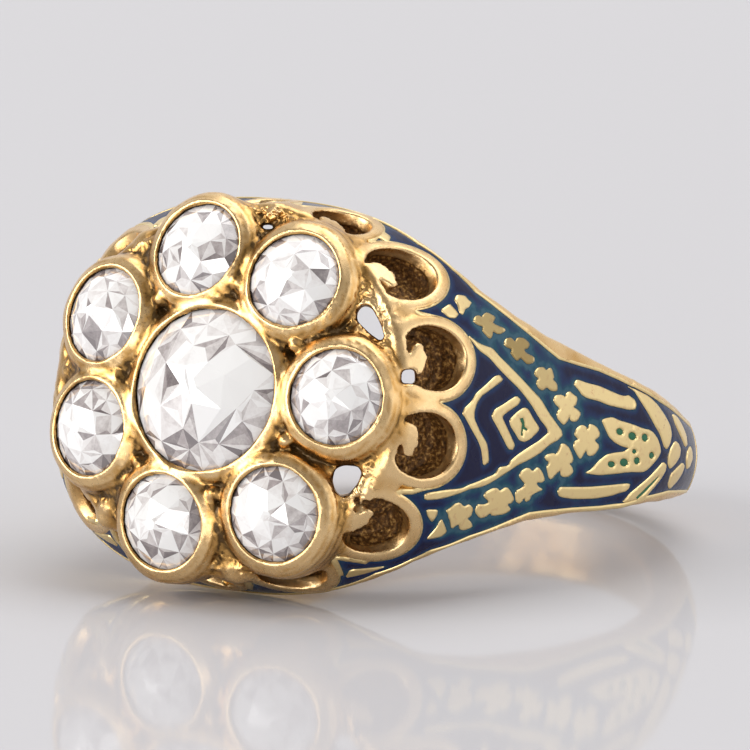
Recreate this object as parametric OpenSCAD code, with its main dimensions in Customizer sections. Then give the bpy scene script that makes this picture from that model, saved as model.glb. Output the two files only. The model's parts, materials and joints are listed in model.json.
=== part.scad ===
// Enamel diamond ring: a cluster of eight rose-cut stones in a gold mount with enamelled shoulders.
// It is drawn upright in its own frame, X across, Y along the finger, Z up through the head,
// and laid on its side in one place, in the module at_rest. Lengths are in mm.

/* [Finger hole and shank] */
// Radius of the finger hole
finger_r = 8.6; // [7.5:0.1:11]
// Outer radius of the shank
shank_r = 10; // [9:0.1:12.5]
// Half the width of the shank at the back
back_half = 1.35; // [1:0.05:3]
// Half the width of the shank at the sides of the finger
side_half = 1.78; // [1.2:0.02:3.5]

/* [Head] */
// Half the length of the head's rim, across the finger
rim_x = 8.3; // [7:0.1:10]
// Half the width of the head's rim, along the finger
rim_y = 6.87; // [6:0.01:9]
// Height of the head's rim over the finger's centre
rim_z = 10.4; // [9.5:0.1:12]
// Height of the gallery's top over the finger's centre
gallery_z = 13.0; // [12.5:0.1:14]
// Half the length of the gallery's top
gallery_x = 7.15; // [6:0.05:8]
// Half the width of the gallery's top
gallery_y = 6.6; // [6:0.05:8]
// Thickness of the gallery's wall
wall = 1.15; // [0.6:0.05:1.6]

/* [Cluster] */
// Radius of each outer stone
outer_r = 1.64; // [1:0.01:2]
// Radius of the centre stone
centre_r = 2.78; // [1.5:0.01:3.2]
// Height of the outer stones' backs
outer_z = 13.75; // [12.5:0.05:15.5]
// Height of the centre stone's back
centre_z = 14.05; // [12.5:0.05:16]
// Outward lean of the outer stones, degrees
lean = 13; // [0:1:25]
// Dome of an outer stone over its girdle
outer_dome = 0.82; // [0.4:0.01:1.5]
// Dome of the centre stone over its girdle
centre_dome = 1.25; // [0.6:0.01:2]
// Width of the gold lip round a stone
lip = 0.54; // [0.3:0.01:0.9]
// Depth of a collet under the stone's back
collet_depth = 1.5; // [0.8:0.1:2.5]
// Radius of the beads between the collets
bead_r = 0.4; // [0.2:0.01:0.6]
// Radius of the grains where the collets meet the gallery
grain_r = 0.3; // [0.2:0.01:0.5]

/* [Gallery openings] */
// Radius of an opening
kidney_r = 1.1; // [0.6:0.01:1.4]
// Height of the openings' centres
kidney_z = 12.0; // [11:0.05:13]
// Width of the gold arch round an opening
arch = 0.48; // [0.2:0.01:0.8]
// Radius of the scroll that curls into an opening
scroll_r = 0.42; // [0.2:0.01:0.6]

/* [Enamel] */
// Depth of the recess that holds the enamel
recess = 0.3; // [0.15:0.01:0.5]
// Gap between the enamel and the gold round it
fit_gap = 0.02; // [0.01:0.005:0.06]
// Width of the gold border along each edge
border = 0.36; // [0.2:0.01:0.6]
// Height at which the enamel stops towards the back of the shank
enamel_end = -4.6; // [-8:0.1:0]
// Height of the tips of enamel between the hearts
enamel_tip = 12.15; // [11:0.05:13]

/* [Hidden] */
clear = 0.03;
big = 30;

// Where the middle of the cluster lies, and the centre stone's own shift from there
cluster_at = [0.1, -0.1];
centre_shift = [0.05, -0.12];
// Each outer stone's place round the middle, uneven as set by hand. Columns: radius, angle from +X
RADIUS = 0;
TURN = 1;
seats = [[5.02, 1.5], [4.77, 54.6], [4.74, 104.5], [5, 155.6], [4.86, 202], [4.83, 256.6], [5.14, 308.8]];
// The hearts of the gallery, one by each outer stone. Columns: angle to either opening, angle of the middle
SPREAD = 0;
hearts = [[11.2, 0.3], [12, 50], [11.4, 103], [11.2, 154.3], [11.2, 205.7], [11.4, 257], [14, 312.3]];

// Columns: height, half length across X, half width along Y, roundness power, half width of the band
HEIGHT = 0;
ACROSS = 1;
ALONG = 2;
POWER = 3;
BAND = 4;
stations = [
    [gallery_z, gallery_x, gallery_y, 2.0, rim_y],
    [12.5, 7.52, 6.68, 2.05, rim_y],
    [12.0, 7.8, 6.74, 2.1, rim_y],
    [11.2, 8.12, 6.82, 2.25, rim_y],
    [rim_z, rim_x, rim_y, 2.45, rim_y],
    [10.1, 8.37, 6.95, 2.45, 5.75],
    [9.7, 8.44, 7.1, 2.45, 5.05],
    [9.0, 8.56, 7.4, 2.4, 4.45],
    [7.5, 8.83, 7.9, 2.3, 3.68],
    [6.0, 9.09, 8.4, 2.2, 3.05],
    [4.0, 9.44, 9.0, 2.1, 2.48],
    [1.75, 9.84, 9.6, 2.0, 2.0],
];
// The back of the shank goes on from the last station, by angle under the sides of the finger
back_steps = 12;
across_steps = 12;
// The side wall's share of the half width where the two halves of a section meet
flat_share = 0.985;
// Tilt at which the rim of the head and the back of the shank both touch the floor
shank_edge = sqrt(shank_r * shank_r - back_half * back_half);
tilt = atan((flat_share * rim_y - back_half) / (shank_edge + rim_z));
// How far the lowest outer stone reaches ahead of the finger's centre, as laid
stone_reach = 15.44;

// One cross-station of the ring's outer skin, moved in by inset, as points from -Y to +Y
function head_x(s, inset, y) =
    (s[ACROSS] - inset) * pow(max(0, 1 - pow(abs(y) / (s[ALONG] - inset), s[POWER])), 1 / s[POWER]);
function head_row(s, inset, spread) =
    let (half = min(s[BAND] + spread, flat_share * (s[ALONG] - inset)))
    [for (j = [0:across_steps])
        let (y = half * sin(180 * j / across_steps - 90)) [head_x(s, inset, y), y, s[HEIGHT]]];
function back_row(k, inset, spread) =
    let (share = k / back_steps, angle = 90 * share,
         half = side_half + (back_half - side_half) * share + spread)
    [for (j = [0:across_steps])
        let (y = half * sin(180 * j / across_steps - 90), r = sqrt(pow(shank_r - inset, 2) - y * y))
        [r * cos(angle), y, -r * sin(angle)]];
function skin_rows(inset, spread) = concat(
    [for (s = stations) head_row(s, inset, spread)],
    [for (k = [0:back_steps - 1]) back_row(k, inset, spread)]);

// Height of the finger's centre over the floor, and its place behind the middle of the whole ring
rest_height = -min([for (row = skin_rows(0, 0), p = row) p[1] * cos(tilt) + p[2] * sin(tilt)]);
back_reach = shank_edge * cos(tilt) + back_half * sin(tilt);
rest_back = (stone_reach - back_reach) / 2;

// The whole outer body as one closed skin: right half, left half, the two flat sides and the top
module skin(inset, spread) {
    rows = skin_rows(inset, spread);
    n = across_steps + 1;
    m = len(rows);
    last = back_row(back_steps, inset, spread);
    right = [for (row = rows, p = row) p];
    left = [for (row = rows, p = row) [-p[0], p[1], p[2]]];
    foot = [for (p = last) [0, p[1], p[2]]];
    points = concat(right, left, foot);
    side_l = m * n;
    foot_0 = 2 * m * n;
    function r_at(i, j) = i < m ? i * n + j : foot_0 + j;
    function l_at(i, j) = i < m ? side_l + i * n + j : foot_0 + j;
    halves = [for (i = [0:m - 1], j = [0:n - 2]) each [
        [r_at(i, j), r_at(i, j + 1), r_at(i + 1, j + 1)],
        [r_at(i, j), r_at(i + 1, j + 1), r_at(i + 1, j)],
        [l_at(i, j + 1), l_at(i, j), l_at(i + 1, j)],
        [l_at(i, j + 1), l_at(i + 1, j), l_at(i + 1, j + 1)]]];
    sides = [for (i = [0:m - 1]) each (i < m - 1 ? [
        [l_at(i, 0), r_at(i, 0), r_at(i + 1, 0)],
        [l_at(i, 0), r_at(i + 1, 0), l_at(i + 1, 0)],
        [r_at(i, n - 1), l_at(i, n - 1), l_at(i + 1, n - 1)],
        [r_at(i, n - 1), l_at(i + 1, n - 1), r_at(i + 1, n - 1)]] : [
        [l_at(i, 0), r_at(i, 0), r_at(i + 1, 0)],
        [r_at(i, n - 1), l_at(i, n - 1), r_at(i + 1, n - 1)]])];
    top = [concat([for (j = [0:n - 1]) l_at(0, j)], [for (j = [n - 1:-1:0]) r_at(0, j)])];
    polyhedron(points, concat(halves, sides, top));
}

// Hollow of the head, open to the finger hole. Columns: height, half length, half width, power
mouth = [
    [6.5, 4.3, 2.9, 3],
    [8.9, 4.9, 3.2, 3],
    [9.6, 6.0, 3.85, 2.8],
    [rim_z, rim_x - wall - 0.3, rim_y - wall - 0.3, 2.6],
    [11.3, 8.1 - wall, 6.8 - wall, 2.3],
    [12.2, 7.7 - wall, 6.7 - wall, 2.1],
    [gallery_z + 0.2, gallery_x - wall, gallery_y - wall, 2],
];
hollow_sides = 24;
module head_hollow() {
    n = hollow_sides;
    function rim_point(s, a) = [
        s[ACROSS] * sign(cos(a)) * pow(abs(cos(a)), 2 / s[POWER]),
        s[ALONG] * sign(sin(a)) * pow(abs(sin(a)), 2 / s[POWER]), s[HEIGHT]];
    points = [for (s = mouth, k = [0:n - 1]) rim_point(s, 360 * k / n)];
    walls = [for (i = [0:len(mouth) - 2], k = [0:n - 1]) let (e = (k + 1) % n) each [
        [i * n + k, (i + 1) * n + e, i * n + e], [i * n + k, (i + 1) * n + k, (i + 1) * n + e]]];
    ends = [[for (k = [0:n - 1]) k], [for (k = [n - 1:-1:0]) (len(mouth) - 1) * n + k]];
    polyhedron(points, concat(walls, ends));
}

// A flat shape drawn as [along the finger, up], pushed outwards along +X from a start to an end
module outwards(from, to) {
    translate([from, 0, 0])
        rotate([90, 0, 90])
            linear_extrude(height = to - from) children();
}

// A bar from p to q, grown by grow on every side
module bar(p, q, width, grow) {
    d = q - p;
    length = norm(d);
    along = d / length;
    side = [-along[1], along[0]] * (width / 2 + grow);
    a = p - along * grow;
    b = q + along * grow;
    polygon([a + side, b + side, b - side, a - side]);
}

// A cross with four flared arms
cross_size = 0.5;
module cross(at, turn, grow) {
    r = cross_size + grow;
    waist = 0.15 + grow * 0.4;
    flare = 0.27 + grow * 0.7;
    arm = [[flare, r * 0.84], [0.1, r], [-0.1, r], [-flare, r * 0.84], [-waist, waist]];
    translate(at)
        rotate(turn)
            polygon([for (k = [0:3], p = arm) [
                p[0] * cos(90 * k) - p[1] * sin(90 * k), p[0] * sin(90 * k) + p[1] * cos(90 * k)]]);
}

// A leaf pointed at both ends
leaf_points = 7;
module leaf(from, to, width, grow) {
    d = to - from;
    length = norm(d) / 2 + grow;
    half = width / 2 + grow;
    r = (length * length + half * half) / (2 * half);
    sweep = asin(length / r);
    translate((from + to) / 2)
        rotate(atan2(d[1], d[0]))
            polygon([for (side = [1, -1], k = [0:leaf_points - 1])
                let (a = sweep * (1 - 2 * k / leaf_points) * side)
                [r * sin(a) * side * side, side * (r * cos(a) - r + half)]]);
}

// Gold motifs left standing in a shoulder's enamel, as [along the finger, up]
line_width = 0.28;
v_line = [[2.85, 10.5], [1.62, 8.1], [0, 5.5]];
chevrons = [[[0, 10.35], [1.48, 8.85], 0.3], [[0, 8.98], [0.84, 7.82], 0.28]];
lozenge = [[0, 8.22], [0.58, 7.4], [0, 6.62], [-0.58, 7.4]];
crosses = [[3.28, 9.2, 32], [2.64, 7.8, 32], [1.82, 6.46, 36], [0.96, 5.22, 40]];
lozenge_middle = (lozenge[0] + lozenge[2]) / 2;
cross_tip = [0, 4.12, 45];
half_crosses = [[3.62, 10.75], [4.02, 10.12]];
bar_ends = [[1.8, 4.85], [1.32, 1.8]];
leaf_root = [0.98, 3.6];
leaf_tip = [0.17, -0.02];
leaf_width = 0.86;
leaf_dots = [0.3, 0.5, 0.7];
strap_from = [1.3, 1.35];
strap_to = [-1.06, -2.05];
second_strap_from = [1.02, -2.62];
second_strap_to = [0.1, -4.2];
strap_width = 0.42;
ovals_up = [-1.6, -3.05];
oval_half = 0.4;

module motifs(grow) {
    for (side = [1, -1]) {
        for (k = [0, 1])
            bar([v_line[k][0] * side, v_line[k][1]], [v_line[k + 1][0] * side, v_line[k + 1][1]],
                line_width, grow);
        for (c = chevrons)
            bar([c[0][0], c[0][1]], [c[1][0] * side, c[1][1]], c[2], grow);
        for (c = crosses)
            cross([c[0] * side, c[1]], c[2] * side, grow);
        for (c = half_crosses)
            bar([(c[0] - 0.16) * side, c[1] + 0.22], [(c[0] + 0.12) * side, c[1] - 0.2], 0.42, grow);
        bar([bar_ends[0][0] * side, bar_ends[0][1]], [bar_ends[1][0] * side, bar_ends[1][1]], 0.34, grow);
        leaf([leaf_root[0] * side, leaf_root[1]], [leaf_tip[0] * side, leaf_tip[1]], leaf_width, grow);
        bar([strap_from[0] * side, strap_from[1]], [strap_to[0] * side, strap_to[1]], strap_width, grow);
        bar([second_strap_from[0] * side, second_strap_from[1]],
            [second_strap_to[0] * side, second_strap_to[1]], strap_width, grow);
    }
    cross([cross_tip[0], cross_tip[1]], cross_tip[2], grow);
    polygon([for (p = lozenge) p + (p - lozenge_middle) / norm(p - lozenge_middle) * grow * 1.4]);
    for (up = ovals_up)
        leaf([-oval_half, up], [oval_half, up], 0.6, grow);
}

// Small drops of enamel in the gold leaves and lozenge, left open here and filled by the finish
module dots() {
    for (side = [1, -1], t = leaf_dots)
        translate([(leaf_root[0] + (leaf_tip[0] - leaf_root[0]) * t) * side,
            leaf_root[1] + (leaf_tip[1] - leaf_root[1]) * t])
            circle(r = 0.14, $fn = 8);
    translate(lozenge_middle)
        circle(r = 0.16, $fn = 8);
}

// The corners of the field of enamel on a shoulder, where it follows the edge of the band.
// Columns: row of stations, share of the border taken off its width, share added to its height
field_rows = [[5, 0.5, 0.85], [6, 0.8, 0.6], [7, 1, 0.3], [8, 1, 0], [9, 1, 0], [10, 1, 0], [11, 1, 0.1]];

// The field of enamel on a shoulder, inside the border, as [along the finger, up]
module field(grow) {
    edge = border - grow;
    head = [[rim_y, enamel_tip + grow], [rim_y, rim_z + edge]];
    band = [for (f = field_rows)
        [stations[f[0]][BAND] - edge * f[1], stations[f[0]][HEIGHT] + edge * f[2]]];
    foot = [[side_half - edge, -0.1], [side_half - 0.1 - edge, enamel_end - grow]];
    half = concat(head, band, foot);
    polygon(concat(half, [for (k = [len(half) - 1:-1:0]) [-half[k][0], half[k][1]]]));
}

module each_kidney() {
    for (heart = hearts, side = [1, -1])
        rotate([0, 0, heart[TURN] + side * heart[SPREAD]]) {
            $side = side;
            children();
        }
}

// The arches' solid round the openings, which the enamel stops at
module arches(grow) {
    each_kidney()
        translate([4, 0, kidney_z])
            rotate([0, 90, 0])
                cylinder(r = kidney_r + arch + grow, h = 8, $fn = 48);
}

// An opening with a scroll that hangs into it on a stalk, away from the heart's middle
scroll_at = [0.42, 0.62];
stalk = 0.4;
module kidney_shape(side) {
    difference() {
        circle(r = kidney_r, $fn = 48);
        translate([side * scroll_at[0], scroll_at[1]])
            circle(r = scroll_r, $fn = 32);
        translate([side * (scroll_at[0] + stalk / 2) - stalk / 2, scroll_at[1]])
            square([stalk, kidney_r]);
    }
}

module kidneys() {
    each_kidney()
        translate([0, 0, kidney_z])
            outwards(4.6, 10) kidney_shape($side);
}

// The prism over a shoulder's enamel: side is 1 for the right and -1 for the left
shoulder_from = 3;
module shoulder_prism(side, grow) {
    mirror([side < 0 ? 1 : 0, 0, 0])
        outwards(shoulder_from - grow, 12)
            difference() {
                field(grow);
                motifs(-grow);
            }
}

// The prism over a small cell of enamel between two hearts, low on the side of the head
cell_turn = (hearts[1][TURN] + hearts[2][TURN]) / 2;
cell_half = 0.95;
module cell_prism(side, grow) {
    low = rim_z + border - grow;
    high = enamel_tip - 0.1 + grow;
    half = cell_half + grow;
    rotate([0, 0, cell_turn * side])
        outwards(4, 9)
            polygon([[-half, low], [half, low], [half, high], [-half, high]]);
}

// Cuts a prism down to the part that lies over the recess's floor and outside the arches
module over_floor(grow) {
    difference() {
        children();
        skin(recess + grow - fit_gap, 1);
        arches(-grow);
    }
}

module enamel_room() {
    over_floor(fit_gap)
        for (side = [1, -1]) {
            shoulder_prism(side, fit_gap);
            cell_prism(side, fit_gap);
            mirror([side < 0 ? 1 : 0, 0, 0])
                outwards(shoulder_from, 12) dots();
        }
}

// A collet's outer form, from its foot to its lip, with the stone's back at height 0
module collet_form(r) {
    rotate_extrude($fn = 72)
        polygon([[0, -collet_depth], [r + lip - 0.28, -collet_depth], [r + lip - 0.12, -0.6],
            [r + lip - 0.02, -0.1], [r + lip, 0.09], [r + lip - 0.07, 0.26], [r + lip - 0.22, 0.37],
            [r + 0.1, 0.37], [r - 0.06, 0.25], [0, 0.25]]);
}

// The room for a stone, with the space over it and the hollow under its closed back
module collet_room(r) {
    rotate_extrude($fn = 72)
        polygon([[0, -clear], [r + clear, -clear], [r + clear, 0.13], [r - 0.08, 0.23], [r - 0.08, 0.5],
            [r + 0.5, 2.5], [0, 2.5]]);
    translate([0, 0, -collet_depth - 1])
        cylinder(r = r - 0.05, h = collet_depth + 1 - 0.35, $fn = 72);
}

module at_centre() {
    translate([cluster_at[0] + centre_shift[0], cluster_at[1] + centre_shift[1], centre_z]) children();
}

module at_outer(k) {
    translate([cluster_at[0], cluster_at[1], outer_z])
        rotate([0, 0, seats[k][TURN]])
            translate([seats[k][RADIUS], 0, 0])
                rotate([0, lean, 0]) children();
}

// Beads between the collets and a pair of grains at the junctions under them
bead_out = 3.66;
grain_out = 6.6;
grain_step = [-0.13, 0.22, 0.12];
module beads() {
    for (k = [0:len(seats) - 1]) {
        last = len(seats) - 1;
        next_turn = k < last ? seats[k + 1][TURN] : seats[0][TURN] + 360;
        rotate([0, 0, (seats[k][TURN] + next_turn) / 2]) {
            translate([bead_out, 0, centre_z - 0.1])
                sphere(r = bead_r, $fn = 24);
            for (side = [1, -1])
                translate([grain_out, 0, gallery_z - grain_step[2]] + grain_step * side)
                    sphere(r = grain_r, $fn = 20);
        }
    }
}

module gold_mount() {
    color("#d9a441")
        difference() {
            union() {
                difference() {
                    skin(0, 0);
                    head_hollow();
                    kidneys();
                    enamel_room();
                }
                at_centre() collet_form(centre_r);
                for (k = [0:len(seats) - 1])
                    at_outer(k) collet_form(outer_r);
                beads();
            }
            rotate([90, 0, 0])
                cylinder(r = finger_r, h = big, center = true, $fn = 128);
            at_centre() collet_room(centre_r);
            for (k = [0:len(seats) - 1])
                at_outer(k) collet_room(outer_r);
        }
}

// A rose cut with a flat back: a small table, six star facets and the skill facets down to the girdle
girdle = 0.08;
table_share = 0.2;
crown_share = 0.6;
crown_rise = 0.64;
module rose(r, dome) {
    n = 24;
    table = [for (k = [0:5]) [table_share * r * cos(60 * k), table_share * r * sin(60 * k), dome + girdle]];
    crown = [for (k = [0:5])
        [crown_share * r * cos(60 * k), crown_share * r * sin(60 * k), crown_rise * dome + girdle]];
    upper = [for (k = [0:n - 1]) [r * cos(360 * k / n), r * sin(360 * k / n), girdle]];
    lower = [for (k = [0:n - 1]) [r * cos(360 * k / n), r * sin(360 * k / n), 0]];
    stars = [for (k = [0:5]) [k, (k + 1) % 6, 6 + (k + 1) % 6, 6 + k]];
    points_down = [for (k = [0:5]) [6 + k, 6 + (k + 1) % 6, 12 + (4 * k + 2) % n]];
    fans = [for (k = [0:5], j = [-2:1]) [6 + k, 12 + (4 * k + j + 1 + n) % n, 12 + (4 * k + j + n) % n]];
    edge = [for (k = [0:n - 1]) [12 + k, 12 + (k + 1) % n, 12 + n + (k + 1) % n, 12 + n + k]];
    base = [[for (k = [0:n - 1]) 12 + n + k]];
    polyhedron(concat(table, crown, upper, lower),
        concat([[for (k = [5:-1:0]) k]], stars, points_down, fans, edge, base));
}

module centre_stone() {
    color("#e8eef2")
        at_centre()
            rotate([0, 0, 12])
                rose(centre_r, centre_dome);
}

module outer_stone(k) {
    color("#e8eef2")
        at_outer(k)
            rotate([0, 0, 17 * k])
                rose(outer_r, outer_dome);
}

module enamel(side) {
    color("#16257a")
        intersection() {
            over_floor(0)
                shoulder_prism(side, 0);
            skin(clear, 1);
        }
}

module enamel_cell(side) {
    color("#155a63")
        intersection() {
            over_floor(0)
                cell_prism(side, 0);
            skin(clear, 1);
        }
}

// Laid on its side, head towards -Y, on the rim of the head and the back of the shank
module at_rest() {
    translate([0, rest_back, rest_height])
        rotate([90 - tilt, 0, 0]) children();
}

at_rest() gold_mount();
at_rest() centre_stone();
at_rest() outer_stone(0);  // outer_stone_1
at_rest() outer_stone(1);  // outer_stone_2
at_rest() outer_stone(2);  // outer_stone_3
at_rest() outer_stone(3);  // outer_stone_4
at_rest() outer_stone(4);  // outer_stone_5
at_rest() outer_stone(5);  // outer_stone_6
at_rest() outer_stone(6);  // outer_stone_7
at_rest() enamel(1);  // enamel_right
at_rest() enamel(-1);  // enamel_left
at_rest() enamel_cell(1);  // enamel_cell_1
at_rest() enamel_cell(-1);  // enamel_cell_2
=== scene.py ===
"""Enamel diamond ring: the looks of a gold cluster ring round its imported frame.

The mount is sculpted as one distance field in millimetres, in the ring's own axes: X across the finger,
Y along the finger and H up through the head. The shoulders' enamel and the gold drawn in it are cut as one
flat pattern and laid on the same skin.
"""

import json
import math

import bmesh
import bpy
import numpy as np
import openvdb
from bpy.props import FloatProperty, FloatVectorProperty, IntProperty, PointerProperty
from mathutils import Matrix, Vector
from mathutils.geometry import delaunay_2d_cdt
from mathutils.kdtree import KDTree


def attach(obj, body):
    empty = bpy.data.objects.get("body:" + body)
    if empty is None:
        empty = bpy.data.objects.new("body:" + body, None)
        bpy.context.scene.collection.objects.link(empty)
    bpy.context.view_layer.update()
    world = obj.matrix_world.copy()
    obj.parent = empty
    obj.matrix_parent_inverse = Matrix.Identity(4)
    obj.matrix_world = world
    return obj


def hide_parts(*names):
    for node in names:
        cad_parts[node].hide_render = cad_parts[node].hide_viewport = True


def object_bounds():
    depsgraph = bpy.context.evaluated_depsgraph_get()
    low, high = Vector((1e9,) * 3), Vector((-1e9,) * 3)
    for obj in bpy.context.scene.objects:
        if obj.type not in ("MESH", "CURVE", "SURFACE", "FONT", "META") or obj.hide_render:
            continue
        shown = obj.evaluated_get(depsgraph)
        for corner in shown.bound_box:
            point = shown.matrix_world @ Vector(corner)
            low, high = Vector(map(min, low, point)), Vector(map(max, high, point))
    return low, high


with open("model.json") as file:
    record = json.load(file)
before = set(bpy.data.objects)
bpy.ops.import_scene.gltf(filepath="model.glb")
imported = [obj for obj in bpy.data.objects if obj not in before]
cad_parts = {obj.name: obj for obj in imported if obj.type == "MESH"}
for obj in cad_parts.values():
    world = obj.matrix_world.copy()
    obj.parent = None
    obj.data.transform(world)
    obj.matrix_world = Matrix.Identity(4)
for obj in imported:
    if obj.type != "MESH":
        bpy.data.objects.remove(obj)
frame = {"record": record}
cad_low, cad_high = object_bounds()

bl_info = {
    "name": "Enamel Diamond Ring",
    "version": (1, 0, 0),
    "blender": (4, 5, 0),
    "location": "View3D > Sidebar > Ring",
    "description": "Builds the finish of a gold cluster ring with rose-cut stones and enamelled shoulders",
    "category": "Object",
}

MM = 0.001
BODY = "root"
bore = next(m for m in frame["record"]["mounts"] if m["name"] == "finger_bore")
FINGER_R = bore["dims"]["r_mm"]
FINGER_AT = Vector(bore["pos_m"])
TILT = math.asin(bore["axis"][1])
LAID = Matrix.Translation(FINGER_AT) @ Matrix.Rotation(math.pi / 2 - TILT, 4, "X") @ Matrix.Scale(MM, 4)


def linear(hex_colour):
    """An sRGB hex colour as linear red, green, blue and full alpha."""
    parts = [int(hex_colour[k:k + 2], 16) / 255 for k in (1, 3, 5)]
    return tuple(c / 12.92 if c <= 0.04045 else ((c + 0.055) / 1.055) ** 2.4 for c in parts) + (1.0,)


def ring_to_world(points):
    """Points in the ring's own millimetres, as an N by 3 array, to world metres."""
    turn = np.array(LAID.to_3x3())
    return points @ turn.T + np.array(LAID.translation)


class RingSizes(bpy.types.PropertyGroup):
    """Sizes of the ring's finish, in the scene's metres."""

    centre_r: FloatProperty(name="Centre stone", description="Radius of the centre stone",
                            default=2.78 * MM, unit="LENGTH", precision=5)
    outer_r: FloatProperty(name="Outer stones", description="Radius of each outer stone",
                           default=1.64 * MM, unit="LENGTH", precision=5)
    skirt: FloatProperty(name="Collet skirt", description="How far a collet spreads from its stone to its foot",
                         default=0.6 * MM, unit="LENGTH", precision=5)
    arch: FloatProperty(name="Arch", description="Width of the flat arch round a gallery opening",
                        default=0.4 * MM, unit="LENGTH", precision=5)
    proud: FloatProperty(name="Motif height", description="How far the gold motifs stand over the enamel",
                         default=0.012 * MM, unit="LENGTH", precision=6)
    grid: FloatProperty(name="Sculpt grid", description="Spacing of the grid that the gold is sculpted on",
                        default=0.08 * MM, unit="LENGTH", precision=6)
    most_triangles: IntProperty(name="Triangles", description="Most triangles in the sculpted gold",
                                default=190000, min=20000, max=199000)


class RingColours(bpy.types.PropertyGroup):
    """Colours of the ring's finish."""

    gold: FloatVectorProperty(name="Gold", description="Polished gold", subtype="COLOR", size=4,
                              default=linear("#c99c5c"), min=0, max=1)
    gold_worn: FloatVectorProperty(name="Worn gold", description="Gold on rubbed edges", subtype="COLOR",
                                   size=4, default=linear("#e9c792"), min=0, max=1)
    # Tarnish colour, which in the hollows also stands for painted shade
    tarnish_and_shade: FloatVectorProperty(name="Tarnish", description="Brown film in the hollows", subtype="COLOR",
                                 size=4, default=linear("#553f20"), min=0, max=1)
    navy: FloatVectorProperty(name="Navy enamel", description="Enamel in the middle of a field",
                              subtype="COLOR", size=4, default=linear("#0b0d34"), min=0, max=1)
    teal: FloatVectorProperty(name="Teal enamel", description="Enamel where it thins towards the gold",
                              subtype="COLOR", size=4, default=linear("#10475a"), min=0, max=1)
    green: FloatVectorProperty(name="Green enamel", description="Enamel of the dots in the gold", subtype="COLOR",
                               size=4, default=linear("#2f6a4c"), min=0, max=1)
    floor: FloatVectorProperty(name="Floor", description="Pale acrylic floor", subtype="COLOR", size=4,
                               default=linear("#c4c3c6"), min=0, max=1)


# The skin of the mount, from the same driving sizes as the solid part

# Height, half size across the head, half size along the finger, power of the section's superellipse
STATIONS = [(13.0, 7.15, 6.60, 2.00), (12.5, 7.52, 6.68, 2.05), (12.0, 7.80, 6.74, 2.12), (11.2, 8.12, 6.82, 2.28),
            (10.4, 8.30, 6.87, 2.48), (10.1, 8.37, 6.95, 2.50), (9.7, 8.44, 7.10, 2.48), (9.0, 8.56, 7.40, 2.42),
            (7.5, 8.83, 7.90, 2.32), (6.0, 9.09, 8.40, 2.20), (4.0, 9.44, 9.00, 2.10), (1.75, 9.84, 9.60, 2.00)]
SHANK_R = 10.0
# The band's two edges, as filed: height, half width above the middle, half width below it
EDGES = [(13.0, 6.87, 6.87), (10.4, 6.87, 6.87), (10.1, 5.75, 5.75), (9.7, 5.05, 5.05), (9.0, 4.45, 4.45),
         (7.5, 3.76, 3.7), (6.0, 3.3, 3.08), (4.0, 2.88, 2.58), (1.75, 2.42, 2.12), (0, 2.1, 1.74), (-2, 1.8, 1.45),
         (-5, 1.42, 1.0), (-8, 1.35, 1.2), (-10.6, 1.35, 1.35)]
# How much more the shank is domed from edge to edge than round the finger, by height
DOME_AT, DOME = [-10, -3.5, 1.5], [2.0, 2.0, 1.0]
SHANK_TOP, GALLERY_TOP = STATIONS[-1][0], STATIONS[0][0]
RIM_Z = 10.4
FLAT_SHARE = 0.985
# How deep the gold is cut out under the enamel
RECESS = 0.14


def rounded_off(values, step, width):
    """A sampled curve with its corners rounded over a width."""
    reach = max(1, int(width / step))
    kernel = np.hanning(2 * reach + 3)[1:-1]
    padded = np.pad(values, reach, mode="edge")
    return np.convolve(padded, kernel / kernel.sum(), mode="valid")


def dome_share(h):
    """How much more the shank is domed from edge to edge than round the finger."""
    share = np.clip(np.interp(h, DOME_AT, np.arange(3)) - 1, 0, 1)
    return DOME[1] + (DOME[2] - DOME[1]) * share * share * (3 - 2 * share)


class Skin:
    """The outer surface of the mount as horizontal sections, sampled finely in height."""

    step = 0.02

    def __init__(self):
        table = np.array(STATIONS)[::-1]
        heights = table[:, 0]
        self.h = np.arange(-SHANK_R, GALLERY_TOP + 1.0, self.step)
        columns = [np.interp(self.h, heights, table[:, k]) for k in (1, 2, 3)]
        for k, column in enumerate(columns):
            rise = (table[-1, k + 1] - table[-2, k + 1]) / (heights[-1] - heights[-2])
            column += np.where(self.h > GALLERY_TOP, (self.h - GALLERY_TOP) * rise, 0)
            columns[k] = rounded_off(column, self.step, 0.35)
        self.across, self.along, self.power = columns
        self.along = self.along * np.where(self.h > SHANK_TOP, FLAT_SHARE, 1)
        low = self.h < SHANK_TOP
        circle = np.sqrt(np.maximum(SHANK_R**2 - self.h**2, 1e-4))
        self.across = np.where(low, circle, self.across)
        self.along = np.where(low, circle / dome_share(self.h), self.along)
        self.power = np.where(low, 2.0, self.power)
        edges = np.array(EDGES)[::-1]
        self.upper, self.lower = (rounded_off(np.interp(self.h, edges[:, 0], edges[:, k]), self.step, 0.12)
                                  for k in (1, 2))

    def at(self, h):
        """Half size across, half size along and power of the section at a height."""
        return [np.interp(h, self.h, c) for c in (self.across, self.along, self.power)]

    def section(self, h, count=241):
        """Points of the right half of a section and how far along it each one is."""
        a, b, p = self.at(h)
        q = np.linspace(-math.pi / 2, math.pi / 2, count)
        y = b * np.sign(np.sin(q)) * np.abs(np.sin(q)) ** (2 / p)
        x = a * np.abs(np.cos(q)) ** (2 / p)
        s = np.concatenate([[0], np.cumsum(np.hypot(np.diff(x), np.diff(y)))])
        return x, y, s - s[count // 2]


skin = Skin()


def left_share(x, h):
    """How much narrower the head is on its left, where the gallery hugs the collets."""
    return 1 + 0.08 * np.clip((h - RIM_Z) / 1.6, 0, 1) * np.clip(0.4 - x / 3, 0, 1)


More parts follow.
